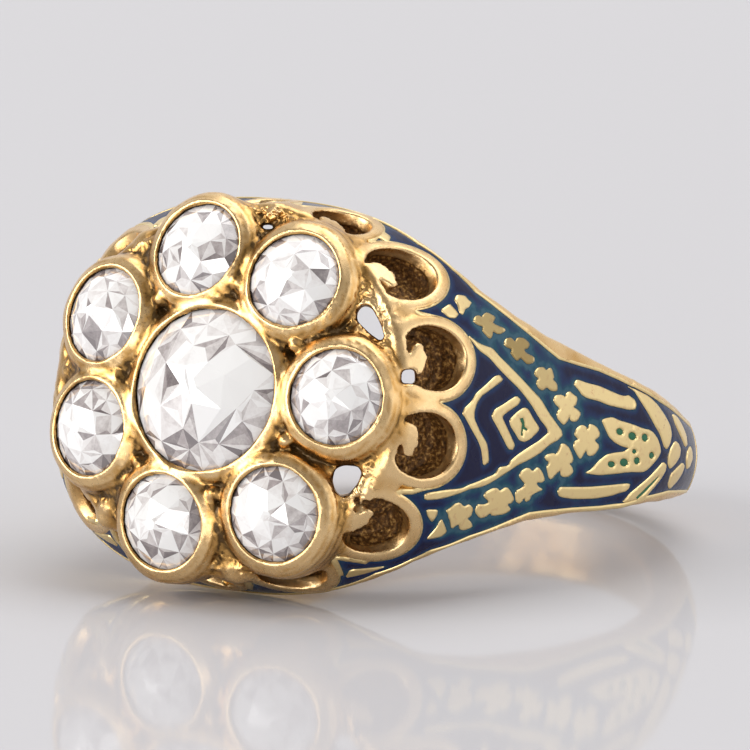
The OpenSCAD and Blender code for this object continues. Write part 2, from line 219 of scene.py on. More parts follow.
class Unrolled:
    """The right half of the skin laid out flat: s is the way round a section, h the height."""

    def __init__(self, low=-6.0, high=GALLERY_TOP, step=0.1, reach=12.6):
        self.heights = np.arange(low, high + step, step)
        self.along = np.arange(-reach, reach + step, step)
        self.low, self.step, self.reach = low, step, reach
        self.x = np.zeros((len(self.heights), len(self.along)))
        self.y = np.zeros_like(self.x)
        for row, h in enumerate(self.heights):
            x, y, s = skin.section(h)
            self.x[row] = np.interp(self.along, s, x)
            self.y[row] = np.interp(self.along, s, y)

    def flat(self, points):
        """From [along the finger, up] to the flat pattern."""
        out = []
        for y, h in points:
            _, ys, s = skin.section(h)
            out.append((float(np.interp(y, ys, s)), h))
        return np.array(out)

    def lift(self, flat_points, height):
        """Points of the flat pattern on the skin, raised by a height along its normal."""
        s, h = flat_points[:, 0], flat_points[:, 1]

        def place(s, h):
            row = np.clip((h - self.low) / self.step, 0, len(self.heights) - 1.001)
            column = np.clip((s + self.reach) / self.step, 0, len(self.along) - 1.001)
            i, j = row.astype(int), column.astype(int)
            u, v = row - i, column - j
            corners = []
            for table in (self.x, self.y):
                lower = table[i, j] * (1 - v) + table[i, j + 1] * v
                upper = table[i + 1, j] * (1 - v) + table[i + 1, j + 1] * v
                corners.append(lower * (1 - u) + upper * u)
            return np.stack([corners[0], corners[1], h], axis=1)

        d = 0.12
        along = place(s + d, h) - place(s - d, h)
        up = place(s, h + d) - place(s, h - d)
        normal = np.cross(along, up)
        normal /= np.linalg.norm(normal, axis=1)[:, None]
        return place(s, h) + normal * np.asarray(height)[:, None]


unrolled = Unrolled()

# The cluster, the hearts and the pattern, each from a short table

CLUSTER_AT = (0.1, -0.1)
CENTRE_SHIFT = (0.05, -0.12)
OUTER_Z, CENTRE_Z = 13.75, 14.05
LEAN = 13
OUTER_DOME, CENTRE_DOME = 0.82, 1.25
GIRDLE = 0.08
COLLET_DEPTH = 1.5
# Each outer stone's place round the middle: radius, angle from +X
SEATS = [(5.02, 1.5), (4.77, 54.6), (4.74, 104.5), (5.0, 155.6), (4.86, 202), (4.83, 256.6), (5.14, 308.8)]
# The hearts of the gallery: angle to either opening, angle of the middle, height of the openings and radius of each
HEARTS = [(11.1, 2.4, 11.86, 1.18, 1.18), (12, 50, 11.93, 1.02, 1.19), (11.4, 103, 11.95, 1.12, 1.12),
          (11.2, 154.3, 11.9, 1.15, 1.15), (11.2, 205.7, 11.9, 1.15, 1.15), (11.4, 257, 12.05, 1.1, 1.1),
          (14, 312.3, 12.03, 1.15, 1.15)]
# An opening's width and height as shares of its radius
LOBE = (0.95, 1.04)
ENAMEL_LOW, ENAMEL_TIP = 10.44, 12.15

# The enamel of a shoulder ends at these places along the finger and heights, above the middle and below it
FIELD_UPPER = [(5.72, 10.37), (5.0, 9.92), (4.35, 9.4), (3.87, 8.48), (3.45, 7.62), (3.1, 6.86), (2.8, 6.2),
               (2.58, 5.68), (2.5, 4.64), (2.44, 3.56), (2.28, 2.52), (2.03, 1.2), (1.8, 0), (1.52, -2), (1.2, -4.6)]
FIELD_LOWER = [(-5.65, 10.4), (-5.0, 9.98), (-4.61, 9.64), (-4.3, 9.04), (-3.91, 8.42), (-3.57, 7.68), (-3.17, 6.9),
               (-2.98, 6.5), (-2.78, 6.08), (-2.62, 5.36), (-2.36, 4.0), (-2.13, 2.62), (-1.9, 1.54), (-1.5, 0.2),
               (-1.16, -1.5), (-0.92, -4.6)]
# How far along the finger the enamel reaches on the head, and the whole edge of a shoulder's enamel
FIELD_END = 6.35
FIELD = [(FIELD_END, ENAMEL_TIP), (FIELD_END, ENAMEL_LOW)] + FIELD_UPPER
FIELD += ([(-FIELD_END, ENAMEL_TIP), (-FIELD_END, ENAMEL_LOW)] + FIELD_LOWER)[::-1]

# The tips of enamel between the hearts and in them: half width, height of the point
TIP_BETWEEN, TIP_WITHIN = (0.62, ENAMEL_TIP), (0.45, 11.95)
# A tip's foot and waist, the waist as a share of its width, and how far out the tips stand
TIP_FOOT, TIP_WAIST, WAIST_SHARE, TIP_OUT = 11.1, 11.7, 0.28, 7.6
# The gold drawn in the enamel, cut by hand and so uneven: each outline as [along the finger, up]
DRAWN = {
    "vee": [(2.8, 10.48), (2.57, 9.94), (2.5, 9.26), (2.26, 8.92), (2.0, 8.42), (1.72, 7.9), (1.42, 7.36), (1.09, 6.74),
            (0.66, 6.24), (0.36, 5.8), (0.17, 5.5), (0, 5.42), (-0.17, 5.6), (-0.39, 6.02), (-0.75, 6.46), (-1.01, 6.9),
            (-1.27, 7.46), (-1.57, 7.88), (-1.79, 8.22), (-2.06, 8.62), (-2.25, 9.06), (-2.36, 9.5), (-2.52, 9.82),
            (-2.88, 10.68), (-2.98, 11.2), (-2.76, 11.3), (-2.53, 10.54), (-2.38, 9.84), (-2.23, 9.58), (-2.05, 9.16),
            (-1.86, 8.76), (-1.72, 8.46), (-1.46, 8.34), (-1.35, 7.9), (-1.2, 7.86), (-0.95, 7.58), (-0.6, 7.04),
            (-0.32, 6.56), (0, 6.16), (0.14, 6.24), (0.41, 6.68), (0.86, 7.22), (1.3, 7.88), (1.57, 8.44), (1.85, 8.96),
            (2.17, 9.46), (2.35, 9.98)],
    "chevron_outer": [(1.57, 9.18), (1.21, 9.64), (0.89, 10.08), (0.55, 10.3), (0.3, 10.58), (0.1, 10.66), (0, 10.5),
                      (-0.37, 10.1), (-0.73, 9.66), (-0.97, 9.44), (-1.28, 9.28), (-1.5, 9.16), (-1.35, 8.94),
                      (-1.05, 9.06), (-0.73, 9.24), (-0.37, 9.7), (0, 10.06), (0.27, 10.1), (0.56, 10.02), (0.82, 9.82),
                      (0.98, 9.56), (1.21, 9.2), (1.43, 8.84), (1.52, 8.76), (1.64, 8.96)],
    "chevron_inner": [(0.88, 8.3), (1.04, 8.02), (0.95, 7.8), (0.79, 7.86), (0.54, 8.26), (0.33, 8.58), (0.22, 8.64),
                      (0, 8.42), (-0.44, 7.98), (-0.62, 7.8), (-0.79, 7.86), (-0.8, 8.06), (-0.54, 8.36), (-0.14, 8.8),
                      (0.12, 9.12), (0.24, 9.18), (0.46, 9.04), (0.65, 8.68)],
    "lozenge": [(0.2, 8.24), (0.5, 7.9), (0.7, 7.58), (0.68, 7.38), (0.4, 7.06), (0.12, 6.68), (0, 6.7), (-0.33, 7.06),
                (-0.46, 7.36), (-0.43, 7.6), (-0.24, 7.84), (0, 8.16)],
    "fleck_upper_1": [(3.49, 11.3), (3.77, 10.84), (3.6, 10.72), (3.45, 10.62), (3.3, 10.8), (3.29, 11.06)],
    "fleck_upper_2": [(3.93, 10.58), (4.13, 10.38), (4.14, 10.04), (4.0, 9.94), (3.94, 9.84), (3.77, 10.04),
                      (3.68, 10.26), (3.46, 10.44), (3.52, 10.56), (3.78, 10.52)],
    "fleck_lower_1": [(-3.29, 10.92), (-3.23, 10.5), (-3.41, 10.42), (-3.68, 10.44), (-3.49, 10.74)],
    "fleck_lower_2": [(-3.5, 10.16), (-3.72, 9.82), (-3.9, 9.56), (-4.09, 9.66), (-4.27, 10.16), (-4.11, 10.16),
                      (-3.83, 10.12)],
    "bar_upper": [(1.82, 4.98), (2.01, 4.8), (1.95, 4.26), (1.93, 3.6), (1.84, 3.06), (1.76, 2.54), (1.75, 2.26),
                  (1.81, 2.02), (1.72, 1.76), (1.54, 1.62), (1.36, 1.7), (1.31, 2.0), (1.32, 2.54), (1.33, 3.08),
                  (1.41, 3.6), (1.43, 4.24), (1.5, 4.52), (1.66, 4.72)],
    "bar_lower": [(-1.91, 5.06), (-1.74, 4.96), (-1.7, 4.6), (-1.56, 3.48), (-1.38, 2.48), (-1.18, 1.46), (-1.36, 1.46),
                  (-1.48, 1.6), (-1.75, 2.34), (-1.92, 3.06), (-2.06, 4.1), (-2.08, 4.6), (-2.06, 4.88)],
    "leaves": [(0.77, 3.44), (0.87, 3.22), (0.95, 2.88), (0.88, 2.5), (0.85, 1.94), (0.8, 1.54), (0.76, 1.2),
               (0.76, 0.84), (0.7, 0.58), (0.52, 0.26), (0.28, 0.04), (0.09, -0.06), (-0.11, 0.06), (-0.37, 0.34),
               (-0.63, 0.66), (-0.73, 0.92), (-0.81, 1.64), (-0.96, 2.34), (-1.1, 3.14), (-1.12, 3.5), (-1.12, 3.88),
               (-0.94, 3.58), (-0.61, 3.3), (-0.35, 2.94), (-0.24, 2.54), (-0.15, 2.08), (0, 1.86), (0.02, 2.26),
               (0.11, 2.66), (0.26, 2.98), (0.52, 3.22)],
    "strap_upper": [(2.12, 2.1), (2.02, 1.74), (1.7, 1.4), (1.3, 0.88), (0.96, 0.48), (0.68, 0.08), (0.3, -0.26),
                    (0.22, -0.46), (0.44, -0.7), (0.78, -0.82), (1.06, -0.7), (1.32, -0.36), (1.66, 0.22), (1.9, 0.86),
                    (2.02, 1.5)],
    "strap_lower": [(-1.9, 1.6), (-1.55, 1.34), (-1.21, 0.9), (-0.87, 0.42), (-0.44, -0.1), (-0.24, -0.34),
                    (-0.3, -0.6), (-0.5, -0.66), (-0.87, -0.4), (-1.26, 0.0), (-1.56, 0.3), (-1.68, 0.8)],
    "lens": [(0.58, -1.14), (0.52, -1.46), (0.34, -1.7), (0.09, -1.66), (-0.17, -1.4), (-0.43, -0.98), (-0.28, -0.74),
             (0, -0.66), (0.28, -0.8)],
    "strap_far_upper": [(1.5, -1.06), (1.12, -1.3), (0.74, -1.84), (0.46, -2.24), (0.56, -2.5), (0.9, -2.46),
                        (1.22, -2.1), (1.46, -1.6)],
    "strap_far_lower": [(-0.6, -1.16), (-0.3, -1.66), (-0.1, -2.06), (-0.2, -2.36), (-0.5, -2.26), (-0.84, -1.9),
                        (-1.1, -1.5), (-0.98, -1.2)],
    "lens_far": [(0.56, -2.9), (0.42, -3.24), (0.12, -3.36), (-0.2, -3.04), (-0.28, -2.7), (0, -2.46), (0.32, -2.52)],
    "fleck_belt": [(6.04, 11.06), (5.83, 11.06), (5.56, 11.5), (5.75, 11.58), (5.92, 11.4)],
    "belt_wedge": [(-5.64, 11.2), (-5.92, 10.9), (-5.72, 10.7), (-5.34, 10.44), (-5.5, 10.8)],
}
# Crosses of the two rows and the one at their tip, each a rounded square of four petals
CROSSES = [
    [(3.3, 9.96), (3.47, 9.84), (3.55, 9.66), (3.51, 9.58), (3.64, 9.4), (3.72, 9.2), (3.6, 8.82), (3.5, 8.88),
     (3.41, 9.0), (3.33, 8.84), (3.27, 8.54), (3.19, 8.52), (3.02, 8.8), (3.06, 9.08), (2.87, 9.2), (2.8, 9.34),
     (2.95, 9.58), (3.06, 9.68), (3.18, 9.6), (3.21, 9.8)],
    [(2.72, 8.56), (2.92, 8.42), (3.0, 8.2), (2.9, 8.02), (3.07, 7.84), (3.06, 7.5), (2.9, 7.26), (2.74, 7.34),
     (2.67, 7.54), (2.56, 7.46), (2.5, 7.14), (2.34, 7.16), (2.2, 7.44), (2.29, 7.68), (2.33, 7.78), (2.21, 7.98),
     (2.34, 8.2), (2.47, 8.32), (2.59, 8.24), (2.64, 8.46)],
    [(1.93, 7.08), (2.15, 6.88), (2.22, 6.6), (2.14, 6.44), (2.24, 6.2), (2.06, 6.08), (1.9, 6.04), (1.86, 6.1),
     (1.72, 5.92), (1.5, 5.92), (1.44, 6.2), (1.5, 6.42), (1.38, 6.66), (1.46, 6.88), (1.64, 7.0), (1.78, 6.88),
     (1.84, 7.02)],
    [(1.14, 6.02), (1.3, 5.9), (1.39, 5.62), (1.33, 5.44), (1.45, 5.4), (1.54, 5.22), (1.46, 5.04), (1.37, 4.82),
     (1.13, 4.84), (1.05, 4.98), (0.98, 4.78), (0.88, 4.62), (0.63, 4.74), (0.54, 4.94), (0.55, 5.08), (0.7, 5.14),
     (0.52, 5.22), (0.37, 5.4), (0.46, 5.6), (0.56, 5.76), (0.73, 5.84), (0.9, 5.72), (1.0, 5.9)],
    [(0.1, 4.78), (0.31, 4.7), (0.48, 4.46), (0.47, 4.26), (0.37, 4.16), (0.55, 4.08), (0.55, 3.9), (0.46, 3.66),
     (0.27, 3.5), (0.16, 3.54), (0.05, 3.7), (-0.07, 3.48), (-0.2, 3.46), (-0.46, 3.64), (-0.55, 3.92), (-0.38, 4.06),
     (-0.5, 4.16), (-0.68, 4.28), (-0.56, 4.48), (-0.31, 4.74), (-0.12, 4.74), (-0.02, 4.58)],
    [(-0.82, 6.1), (-0.72, 5.98), (-0.63, 5.76), (-0.65, 5.62), (-0.47, 5.5), (-0.29, 5.42), (-0.27, 5.24),
     (-0.38, 4.98), (-0.71, 4.68), (-0.86, 4.7), (-0.9, 4.8), (-1.0, 4.66), (-1.14, 4.58), (-1.31, 4.72), (-1.39, 4.96),
     (-1.37, 5.1), (-1.21, 5.18), (-1.37, 5.38), (-1.54, 5.56), (-1.47, 5.7), (-1.14, 5.94), (-0.98, 5.86),
     (-0.92, 6.04)],
    [(-1.64, 7.2), (-1.47, 7.12), (-1.31, 6.88), (-1.38, 6.58), (-1.23, 6.4), (-1.36, 6.14), (-1.61, 5.9),
     (-1.71, 5.98), (-1.71, 6.22), (-1.84, 6.12), (-1.93, 5.84), (-2.08, 6.1), (-2.23, 6.3), (-2.38, 6.32),
     (-2.45, 6.5), (-2.33, 6.62), (-2.52, 6.74), (-2.45, 6.96), (-2.15, 7.16), (-2.0, 6.9), (-1.85, 6.86),
    (-1.75, 7.04)], [(-2.53, 8.66), (-2.38, 8.62), (-2.19, 8.36), (-2.14, 8.16), (-2.21, 7.98), (-2.06, 7.7),
     (-2.2, 7.44), (-2.43, 7.18), (-2.58, 7.2), (-2.63, 7.36), (-2.79, 7.12), (-2.98, 7.34), (-3.15, 7.86),
     (-3.08, 8.04), (-3.2, 8.16), (-3.24, 8.4), (-3.04, 8.72), (-2.81, 8.76), (-2.79, 8.48), (-2.71, 8.36),
    (-2.62, 8.44)], [(-3.23, 10.1), (-3.11, 9.98), (-2.96, 9.88), (-2.87, 9.7), (-2.93, 9.48), (-2.93, 9.36),
     (-2.85, 9.2), (-2.99, 8.94), (-3.25, 8.86), (-3.35, 8.96), (-3.45, 8.72), (-3.57, 8.62), (-3.72, 8.84),
     (-3.76, 9.04), (-3.61, 9.24), (-3.81, 9.44), (-3.56, 9.72), (-3.41, 9.9), (-3.33, 9.94)],
]
# How far a cross reaches, and how thick a brown film dulls each of the first three
CROSS_R, FILMS = 0.72, [0.6, 0.75, 0.4]
# Dots and strokes of enamel let into the gold: middle, half sizes
DOTS = [((0.5, 2.44), (0.12, 0.2)), ((0.43, 1.76), (0.14, 0.22)), ((0.46, 1.06), (0.14, 0.2)),
        ((-0.66, 2.64), (0.11, 0.2)), ((-0.52, 2.0), (0.14, 0.23)), ((-0.38, 1.34), (0.13, 0.18)),
        ((-0.08, 1.56), (0.08, 0.13)), ((-0.1, 0.52), (0.12, 0.18))]
SQUIGGLE = [(0.3, 7.74), (0.36, 7.56), (0.22, 7.46), (0.06, 7.42), (0.0, 7.24), (-0.09, 7.3), (-0.04, 7.48),
            (-0.26, 7.46), (-0.26, 7.58), (-0.02, 7.6), (0.14, 7.6), (0.2, 7.68)]
GROOVE = [(-1.62, 0.92), (-1.3, 0.56), (-0.98, 0.16), (-0.72, -0.2), (-0.8, -0.24), (-1.08, 0.04), (-1.42, 0.42),
          (-1.7, 0.8)]


def resampled(outline, most):
    """A closed outline with no side longer than most."""
    out = []
    for a, b in zip(outline, np.roll(outline, -1, axis=0)):
        pieces = max(1, int(math.ceil(np.linalg.norm(b - a) / most)))
        out.extend(a + (b - a) * k / pieces for k in range(pieces))
    return np.array(out)


def finely(points, most=0.07, share=0.16):
    """A closed outline with its corners cut and no side longer than most."""
    p = np.array(points, float)
    following = np.roll(p, -1, axis=0)
    cut = np.stack([p * (1 - share) + following * share, p * share + following * (1 - share)], axis=1)
    return resampled(cut.reshape(-1, 2), most)


def petalled(points, more=0.3):
    """A cross with its petals pushed out and the notches between them cut in."""
    p = np.array(points)
    middle = (p.max(axis=0) + p.min(axis=0)) / 2
    reach = np.linalg.norm(p - middle, axis=1)
    return middle + (p - middle) * ((reach / reach.mean()) ** more)[:, None]


def gold_outlines():
    """The gold motifs of a shoulder and the enamel let into them, as outlines [along the finger, up]."""
    turn = np.arange(16) * math.pi / 8
    ovals = [np.stack([y + ry * np.cos(turn), h + rh * np.sin(turn)], axis=1) for (y, h), (ry, rh) in DOTS]
    motifs = [finely(outline) for outline in DRAWN.values()]
    return motifs + [finely(petalled(cross), share=0.2) for cross in CROSSES], ovals + [SQUIGGLE, GROOVE]


def inside(points, polygon):
    """Which points lie inside a closed outline."""
    x, y = points[:, 0], points[:, 1]
    hit = np.zeros(len(points), bool)
    for (x0, y0), (x1, y1) in zip(polygon, np.roll(polygon, -1, axis=0)):
        crosses = (y0 > y) != (y1 > y)
        at = x0 + (y - y0) * (x1 - x0) / ((y1 - y0) if y1 != y0 else 1e-9)
        hit ^= crosses & (x < at)
    return hit


def outline_distance(px, py, polygon):
    """Signed distance from each place to a closed outline, negative inside."""
    best = np.full(np.broadcast(px, py).shape, 1e9, np.float32)
    hit = np.zeros(best.shape, bool)
    points = np.array(polygon, float)
    for (x0, y0), (x1, y1) in zip(points, np.roll(points, -1, axis=0)):
        dx, dy = x1 - x0, y1 - y0
        t = np.clip(((px - x0) * dx + (py - y0) * dy) / max(dx * dx + dy * dy, 1e-12), 0, 1)
        best = np.minimum(best, (px - x0 - t * dx) ** 2 + (py - y0 - t * dy) ** 2)
        if dy:
            hit ^= ((y0 > py) != (y1 > py)) & (px < x0 + (py - y0) * dx / dy)
    return np.where(hit, -1, 1) * np.sqrt(best)


def soft_max(a, b, width):
    """The larger of two distances, its crease rounded over a width."""
    near = np.maximum(width - np.abs(a - b), 0)
    return np.maximum(a, b) + near * near / (4 * width)


def soft_min(a, b, width):
    """The smaller of two distances, its crease rounded over a width."""
    return -soft_max(-a, -b, width)


class Block:
    """A block of space on a grid, in the ring's millimetres."""

    def __init__(self, low, high, step):
        self.low, self.step = low, step
        self.axes = [np.arange(a, b + step, step, dtype=np.float32) for a, b in zip(low, high)]
        self.x, self.y, self.h = (axis.reshape([-1 if k == j else 1 for j in range(3)])
                                  for k, axis in enumerate(self.axes))

    def near(self, at, reach):
        """The cells within a reach of a point, and their places less the point."""
        cut, local = [], []
        for k, axis in enumerate(self.axes):
            first, last = np.searchsorted(axis, (at[k] - reach, at[k] + reach))
            cut.append(slice(int(first), int(last)))
            shape = [-1 if k == j else 1 for j in range(3)]
            local.append((axis[first:last] - at[k]).reshape(shape))
        return tuple(cut), local

    def framed(self, at, axes, reach):
        """The cells within a reach of a point, and their places in a frame that stands there."""
        cut, local = self.near(at, reach)
        return cut, [sum(axes[j, i] * local[j] for j in range(3)) for i in range(3)]

    def places(self, cut):
        """The cells' own places, as Block.x, Block.y and Block.h have them."""
        return self.x[cut[0]], self.y[:, cut[1]], self.h[:, :, cut[2]]

    def sample(self, values, points):
        """Values of a field at places between the cells."""
        place = (points - np.array(self.low)) / self.step
        place = np.clip(place, 0, np.array(values.shape) - 1.001)
        first = place.astype(int)
        part = place - first
        total = 0
        for corner in range(8):
            step = np.array([corner >> 2 & 1, corner >> 1 & 1, corner & 1])
            at = first + step
            weight = np.prod(np.where(step, part, 1 - part), axis=1)
            total = total + values[at[:, 0], at[:, 1], at[:, 2]] * weight
        return total


def superellipse(x, y, a, b, p):
    """How far outside an upright superellipse a place is, measured from the middle out."""
    share = ((np.abs(x) / a) ** p + (np.abs(y) / b) ** p) ** (1 / p)
    out = np.sqrt(x * x + y * y)
    edge = np.where(out > 0.3, out / np.maximum(share, 1e-6), np.minimum(a, b))
    return out - edge


def blurred(values, reach):
    """Values averaged over a box of cells, twice."""
    for _ in range(2):
        for axis in range(3):
            pad = [(reach + 1, reach) if k == axis else (0, 0) for k in range(3)]
            total = np.cumsum(np.pad(values, pad, mode="edge"), axis=axis, dtype=np.float32)
            count = values.shape[axis]
            ahead = np.take(total, np.arange(2 * reach + 1, 2 * reach + 1 + count), axis=axis)
            behind = np.take(total, np.arange(0, count), axis=axis)
            values = (ahead - behind) / (2 * reach + 1)
    return values


def band_outside(y, h):
    """How far outside the band's two sides a place is."""
    levels = np.append(np.arange(-11.0, GALLERY_TOP + 1.5, 0.15), GALLERY_TOP + 1.5)
    upper, lower = (np.interp(levels, skin.h, edge) for edge in (skin.upper, skin.lower))
    return outline_distance(y, h, list(zip(upper, levels)) + list(zip(-lower[::-1], levels[::-1])))


def turned(angle):
    """Columns of a frame turned round the head: outwards, round, and up."""
    c, s = math.cos(angle), math.sin(angle)
    return np.array([[c, -s, 0], [s, c, 0], [0, 0, 1]])


def seat_frames(sizes):
    """Place, frame, stone radius and dome of each collet, the centre one first."""
    centre = np.array([CLUSTER_AT[0] + CENTRE_SHIFT[0], CLUSTER_AT[1] + CENTRE_SHIFT[1], CENTRE_Z])
    seats = [(centre, turned(0), sizes.centre_r / MM, CENTRE_DOME)]
    tip = math.radians(LEAN)
    leaned = np.array([[math.cos(tip), 0, math.sin(tip)], [0, 1, 0], [-math.sin(tip), 0, math.cos(tip)]])
    for radius, angle in SEATS:
        turn = turned(math.radians(angle))
        at = turn @ np.array([radius, 0, 0]) + np.array([CLUSTER_AT[0], CLUSTER_AT[1], OUTER_Z])
        seats.append((at, turn @ leaned, sizes.outer_r / MM, OUTER_DOME))
    return seats


# How far out an opening of the gallery is taken to be, and how far round it the skin is worked
OPENING_OUT, OPENING_REACH = 7.1, 2.6
# The wire of a scroll, as seen from outside: away from the heart's middle, up, half width
SCROLL = [(1.2, 0.75, 0.22), (0.78, 1.1, 0.28), (0.2, 1.22, 0.33), (-0.3, 1.0, 0.36), (-0.3, 0.72, 0.33),
          (0.02, 0.56, 0.27), (0.36, 0.5, 0.15)]
# The plate under the cluster: radius, height, half thickness
WEB_R, WEB_Z, WEB_HALF = 4.75, 13.2, 0.3
# The rough metal round the collets: reach, height in the middle, how fast it falls away, half thickness
FILL_R, FILL_Z, FILL_FALL, FILL_HALF = 6.45, 13.45, 0.0155, 0.3
# The beads between the collets: distance from the middle, depth under the centre stone's back, radius
BEAD_OUT, BEAD_UNDER, BEAD_R = 3.66, 0.08, 0.25
# The creases on the left and below, which are filled with a fold of gold
FOLDS = (2, 3, 4, 5)
# Rough punched patches between the collets and the gallery: place, reach
GRAINS = [((5.9, 2.95, 12.9), 0.95), ((6.0, -3.0, 12.7), 0.95), ((2.3, -6.0, 12.9), 0.9), ((1.3, 5.9, 13.1), 0.8),
          ((3.6, 0.1, 13.7), 0.5), ((2.4, 2.9, 13.7), 0.6), ((2.6, -2.9, 13.7), 0.6)]
# Gaps that go right through between collets and gallery: place, outline round it in mm, length
GAPS = [((5.33, 2.95, 13.0), [(-0.3, -0.2), (-0.3, 0.1), (-0.1, 0.34), (0.2, 0.26), (0.5, -0.3), (0.64, -0.75),
                              (0.48, -0.88), (0.1, -0.6)], 9.0),
        ((5.47, -2.67, 13.0), [(-0.5, 0.0), (-0.4, 0.36), (-0.1, 0.5), (0.38, 0.46), (0.5, 0.24), (0.36, -0.14),
                               (0.1, -0.46), (-0.2, -0.56), (-0.42, -0.34)], 9.0),
        ((6.81, 1.09, 12.2), [(-0.24, -0.26), (-0.2, 0.2), (0.24, 0.24), (0.26, -0.26)], 9.0),
        ((1.12, 5.61, 13.4), [(-0.16, 0.04), (0.22, 0.06), (0.3, -0.12), (-0.06, -0.14)], 9.0)]
# The gaps' right, their up and the way that they run
GAP_AXES = np.array([[0.852, 0.135, -0.506], [-0.092, 0.99, 0.109], [0.516, -0.046, 0.855]])

# The hollow of the head: height, half length, half width, power
MOUTH = [(6.2, 4.3, 2.9, 3), (8.9, 4.9, 3.2, 3), (9.6, 6.0, 3.85, 2.8), (10.4, 6.85, 5.42, 2.6),
         (11.3, 6.95, 5.65, 2.3), (12.2, 6.55, 5.55, 2.1), (13.2, 6.0, 5.45, 2)]


def openings():
    """Angle, side, height and radius of each opening: side is 1 where it lies past its heart's middle."""
    return [(math.radians(turn + side * spread), side, height, r)
            for spread, turn, height, *both in HEARTS for side, r in zip((1, -1), both)]


def collet_profile(r, skirt):
    """A collet from its foot over the rubbed lip, as [out, up] from the middle of the stone's back."""
    foot = -COLLET_DEPTH - 0.3
    return [(0, foot), (r + skirt - 0.12, foot), (r + skirt, -1.3), (r + skirt + 0.01, -0.7),
            (r + skirt - 0.03, -0.36), (r + skirt - 0.11, -0.1), (r + 0.35, 0.08), (r + 0.2, 0.17), (r + 0.11, 0.24),
            (r + 0.04, 0.26), (r - 0.03, 0.2), (0, 0.2)]


def room_profile(r):
    """The room of a stone, with what lies open over it and the hollow under its back."""
    return [(0, -3.2), (r - 0.1, -3.2), (r - 0.1, -0.35), (r - 0.4, -0.35), (r - 0.4, -0.12), (r + 0.02, -0.12),
            (r + 0.03, 0.1), (r - 0.035, 0.17), (r - 0.035, 0.21), (r + 0.05, 0.28), (r + 1.4, 1.6), (0, 3)]


def junctions():
    """Angle of each gap between two outer collets."""
    turns = [turn for _, turn in SEATS] + [SEATS[0][1] + 360]
    return [math.radians((a + b) / 2) for a, b in zip(turns, turns[1:])]


def enamelled(x, y, h):
    """How much of the recess under the enamel there is at a place, 0 to 1."""
    field = outline_distance(y, h, FIELD)
    shoulder = np.clip(0.5 - field / 0.1, 0, 1) * (np.abs(x) > 3)
    belt = np.clip(0.5 - np.maximum(ENAMEL_LOW - h, h - ENAMEL_TIP) / 0.1, 0, 1)
    return np.where(h > ENAMEL_LOW, belt, shoulder).astype(np.float32)


def skin_field(block, narrow, arch):
    """The distance to the mount's skin, sunk under the enamel, and the cells round each opening."""
    x, y, h = block.x, block.y, block.h
    a, b, p, share = (v.reshape(1, 1, -1).astype(np.float32)
                      for v in (*skin.at(block.axes[2]), dome_share(block.axes[2])))
    shank = np.sqrt(x * x + (y * share) ** 2 + h * h) - SHANK_R
    outer = np.where(h < SHANK_TOP, shank, superellipse(x * narrow, y * narrow, a, b, p)).astype(np.float32)
    recess = RECESS * enamelled(x, y, h)
    spots = []
    for angle, side, height, r in openings():
        at = np.array([OPENING_OUT * math.cos(angle), OPENING_OUT * math.sin(angle), height])
        cut, (to_x, to_y, up) = block.near(at, OPENING_REACH)
        along = side * ((to_y + at[1]) * math.cos(angle) - (to_x + at[0]) * math.sin(angle))
        reach = np.hypot(along / LOBE[0], up / LOBE[1])
        recess[cut] *= np.clip((reach - r - arch + 0.02) / 0.08, 0, 1)
        # The arch round an opening stands 0.035 mm proud, flat across its width
        outer[cut] -= 0.035 * np.clip(1 - ((reach - r - arch * 0.5) / (arch * 0.6)) ** 4, 0, 1)
        spots.append((cut, along, up, reach - r))
    return outer + recess, spots


def hollowed(block, narrow, outer):
    """The mount cut to its band, its finger hole and the gallery's top, and hollow inside the head."""
    x, y, h = block.x, block.y, block.h
    gold = soft_max(outer, band_outside(y, h).astype(np.float32), 0.2)
    gold = soft_max(gold, FINGER_R - np.sqrt(x * x + h * h), 0.25)
    gold = soft_max(gold, h - GALLERY_TOP, 0.25)
    rows = np.array(MOUTH)
    a, b, p = (np.interp(block.axes[2], rows[:, 0], rows[:, k]).reshape(1, 1, -1) for k in (1, 2, 3))
    hollow = np.maximum(superellipse(x * narrow, y * narrow, a, b, p), MOUTH[0][0] - h)
    return soft_max(gold, -hollow, 0.2).astype(np.float32)


def pierce(block, gold, outer, cut, along, up, reach):
    """Saws one opening of a heart out round its scroll."""
    wire = np.full(np.broadcast(along, up).shape, 9.0, np.float32)
    for (t0, z0, r0), (t1, z1, r1) in zip(SCROLL, SCROLL[1:]):
        dt, dz = t1 - t0, z1 - z0
        share = np.clip(((along - t0) * dt + (up - z0) * dz) / (dt * dt + dz * dz), 0, 1)
        far = np.hypot(along - t0 - share * dt, up - z0 - share * dz) - r0 - share * (r1 - r0)
        wire = np.minimum(wire, far)
    # The scroll is half a millimetre thick, and all behind it is open
    window = soft_max(reach, -wire, 0.05)
    opened = np.minimum(window, np.maximum(reach - 0.12, outer[cut] + 0.5))
    gold[cut] = soft_max(gold[cut], -opened, 0.06)
    # The saw-cut inside of a heart, closed off behind by the rough cast wall of the head
    rough = rubble(*block.places(cut))
    wall = soft_max(reach - 0.4, np.abs(outer[cut] + 1.42 + 0.5 * rough) - 0.22, 0.1)
    gold[cut] = soft_min(gold[cut], wall, 0.12)
    within = np.clip((-outer[cut] - 0.25) / 0.3, 0, 1) * np.clip(0.5 - reach / 0.4, 0, 1)
    gold[cut] += 0.6 * rough * within


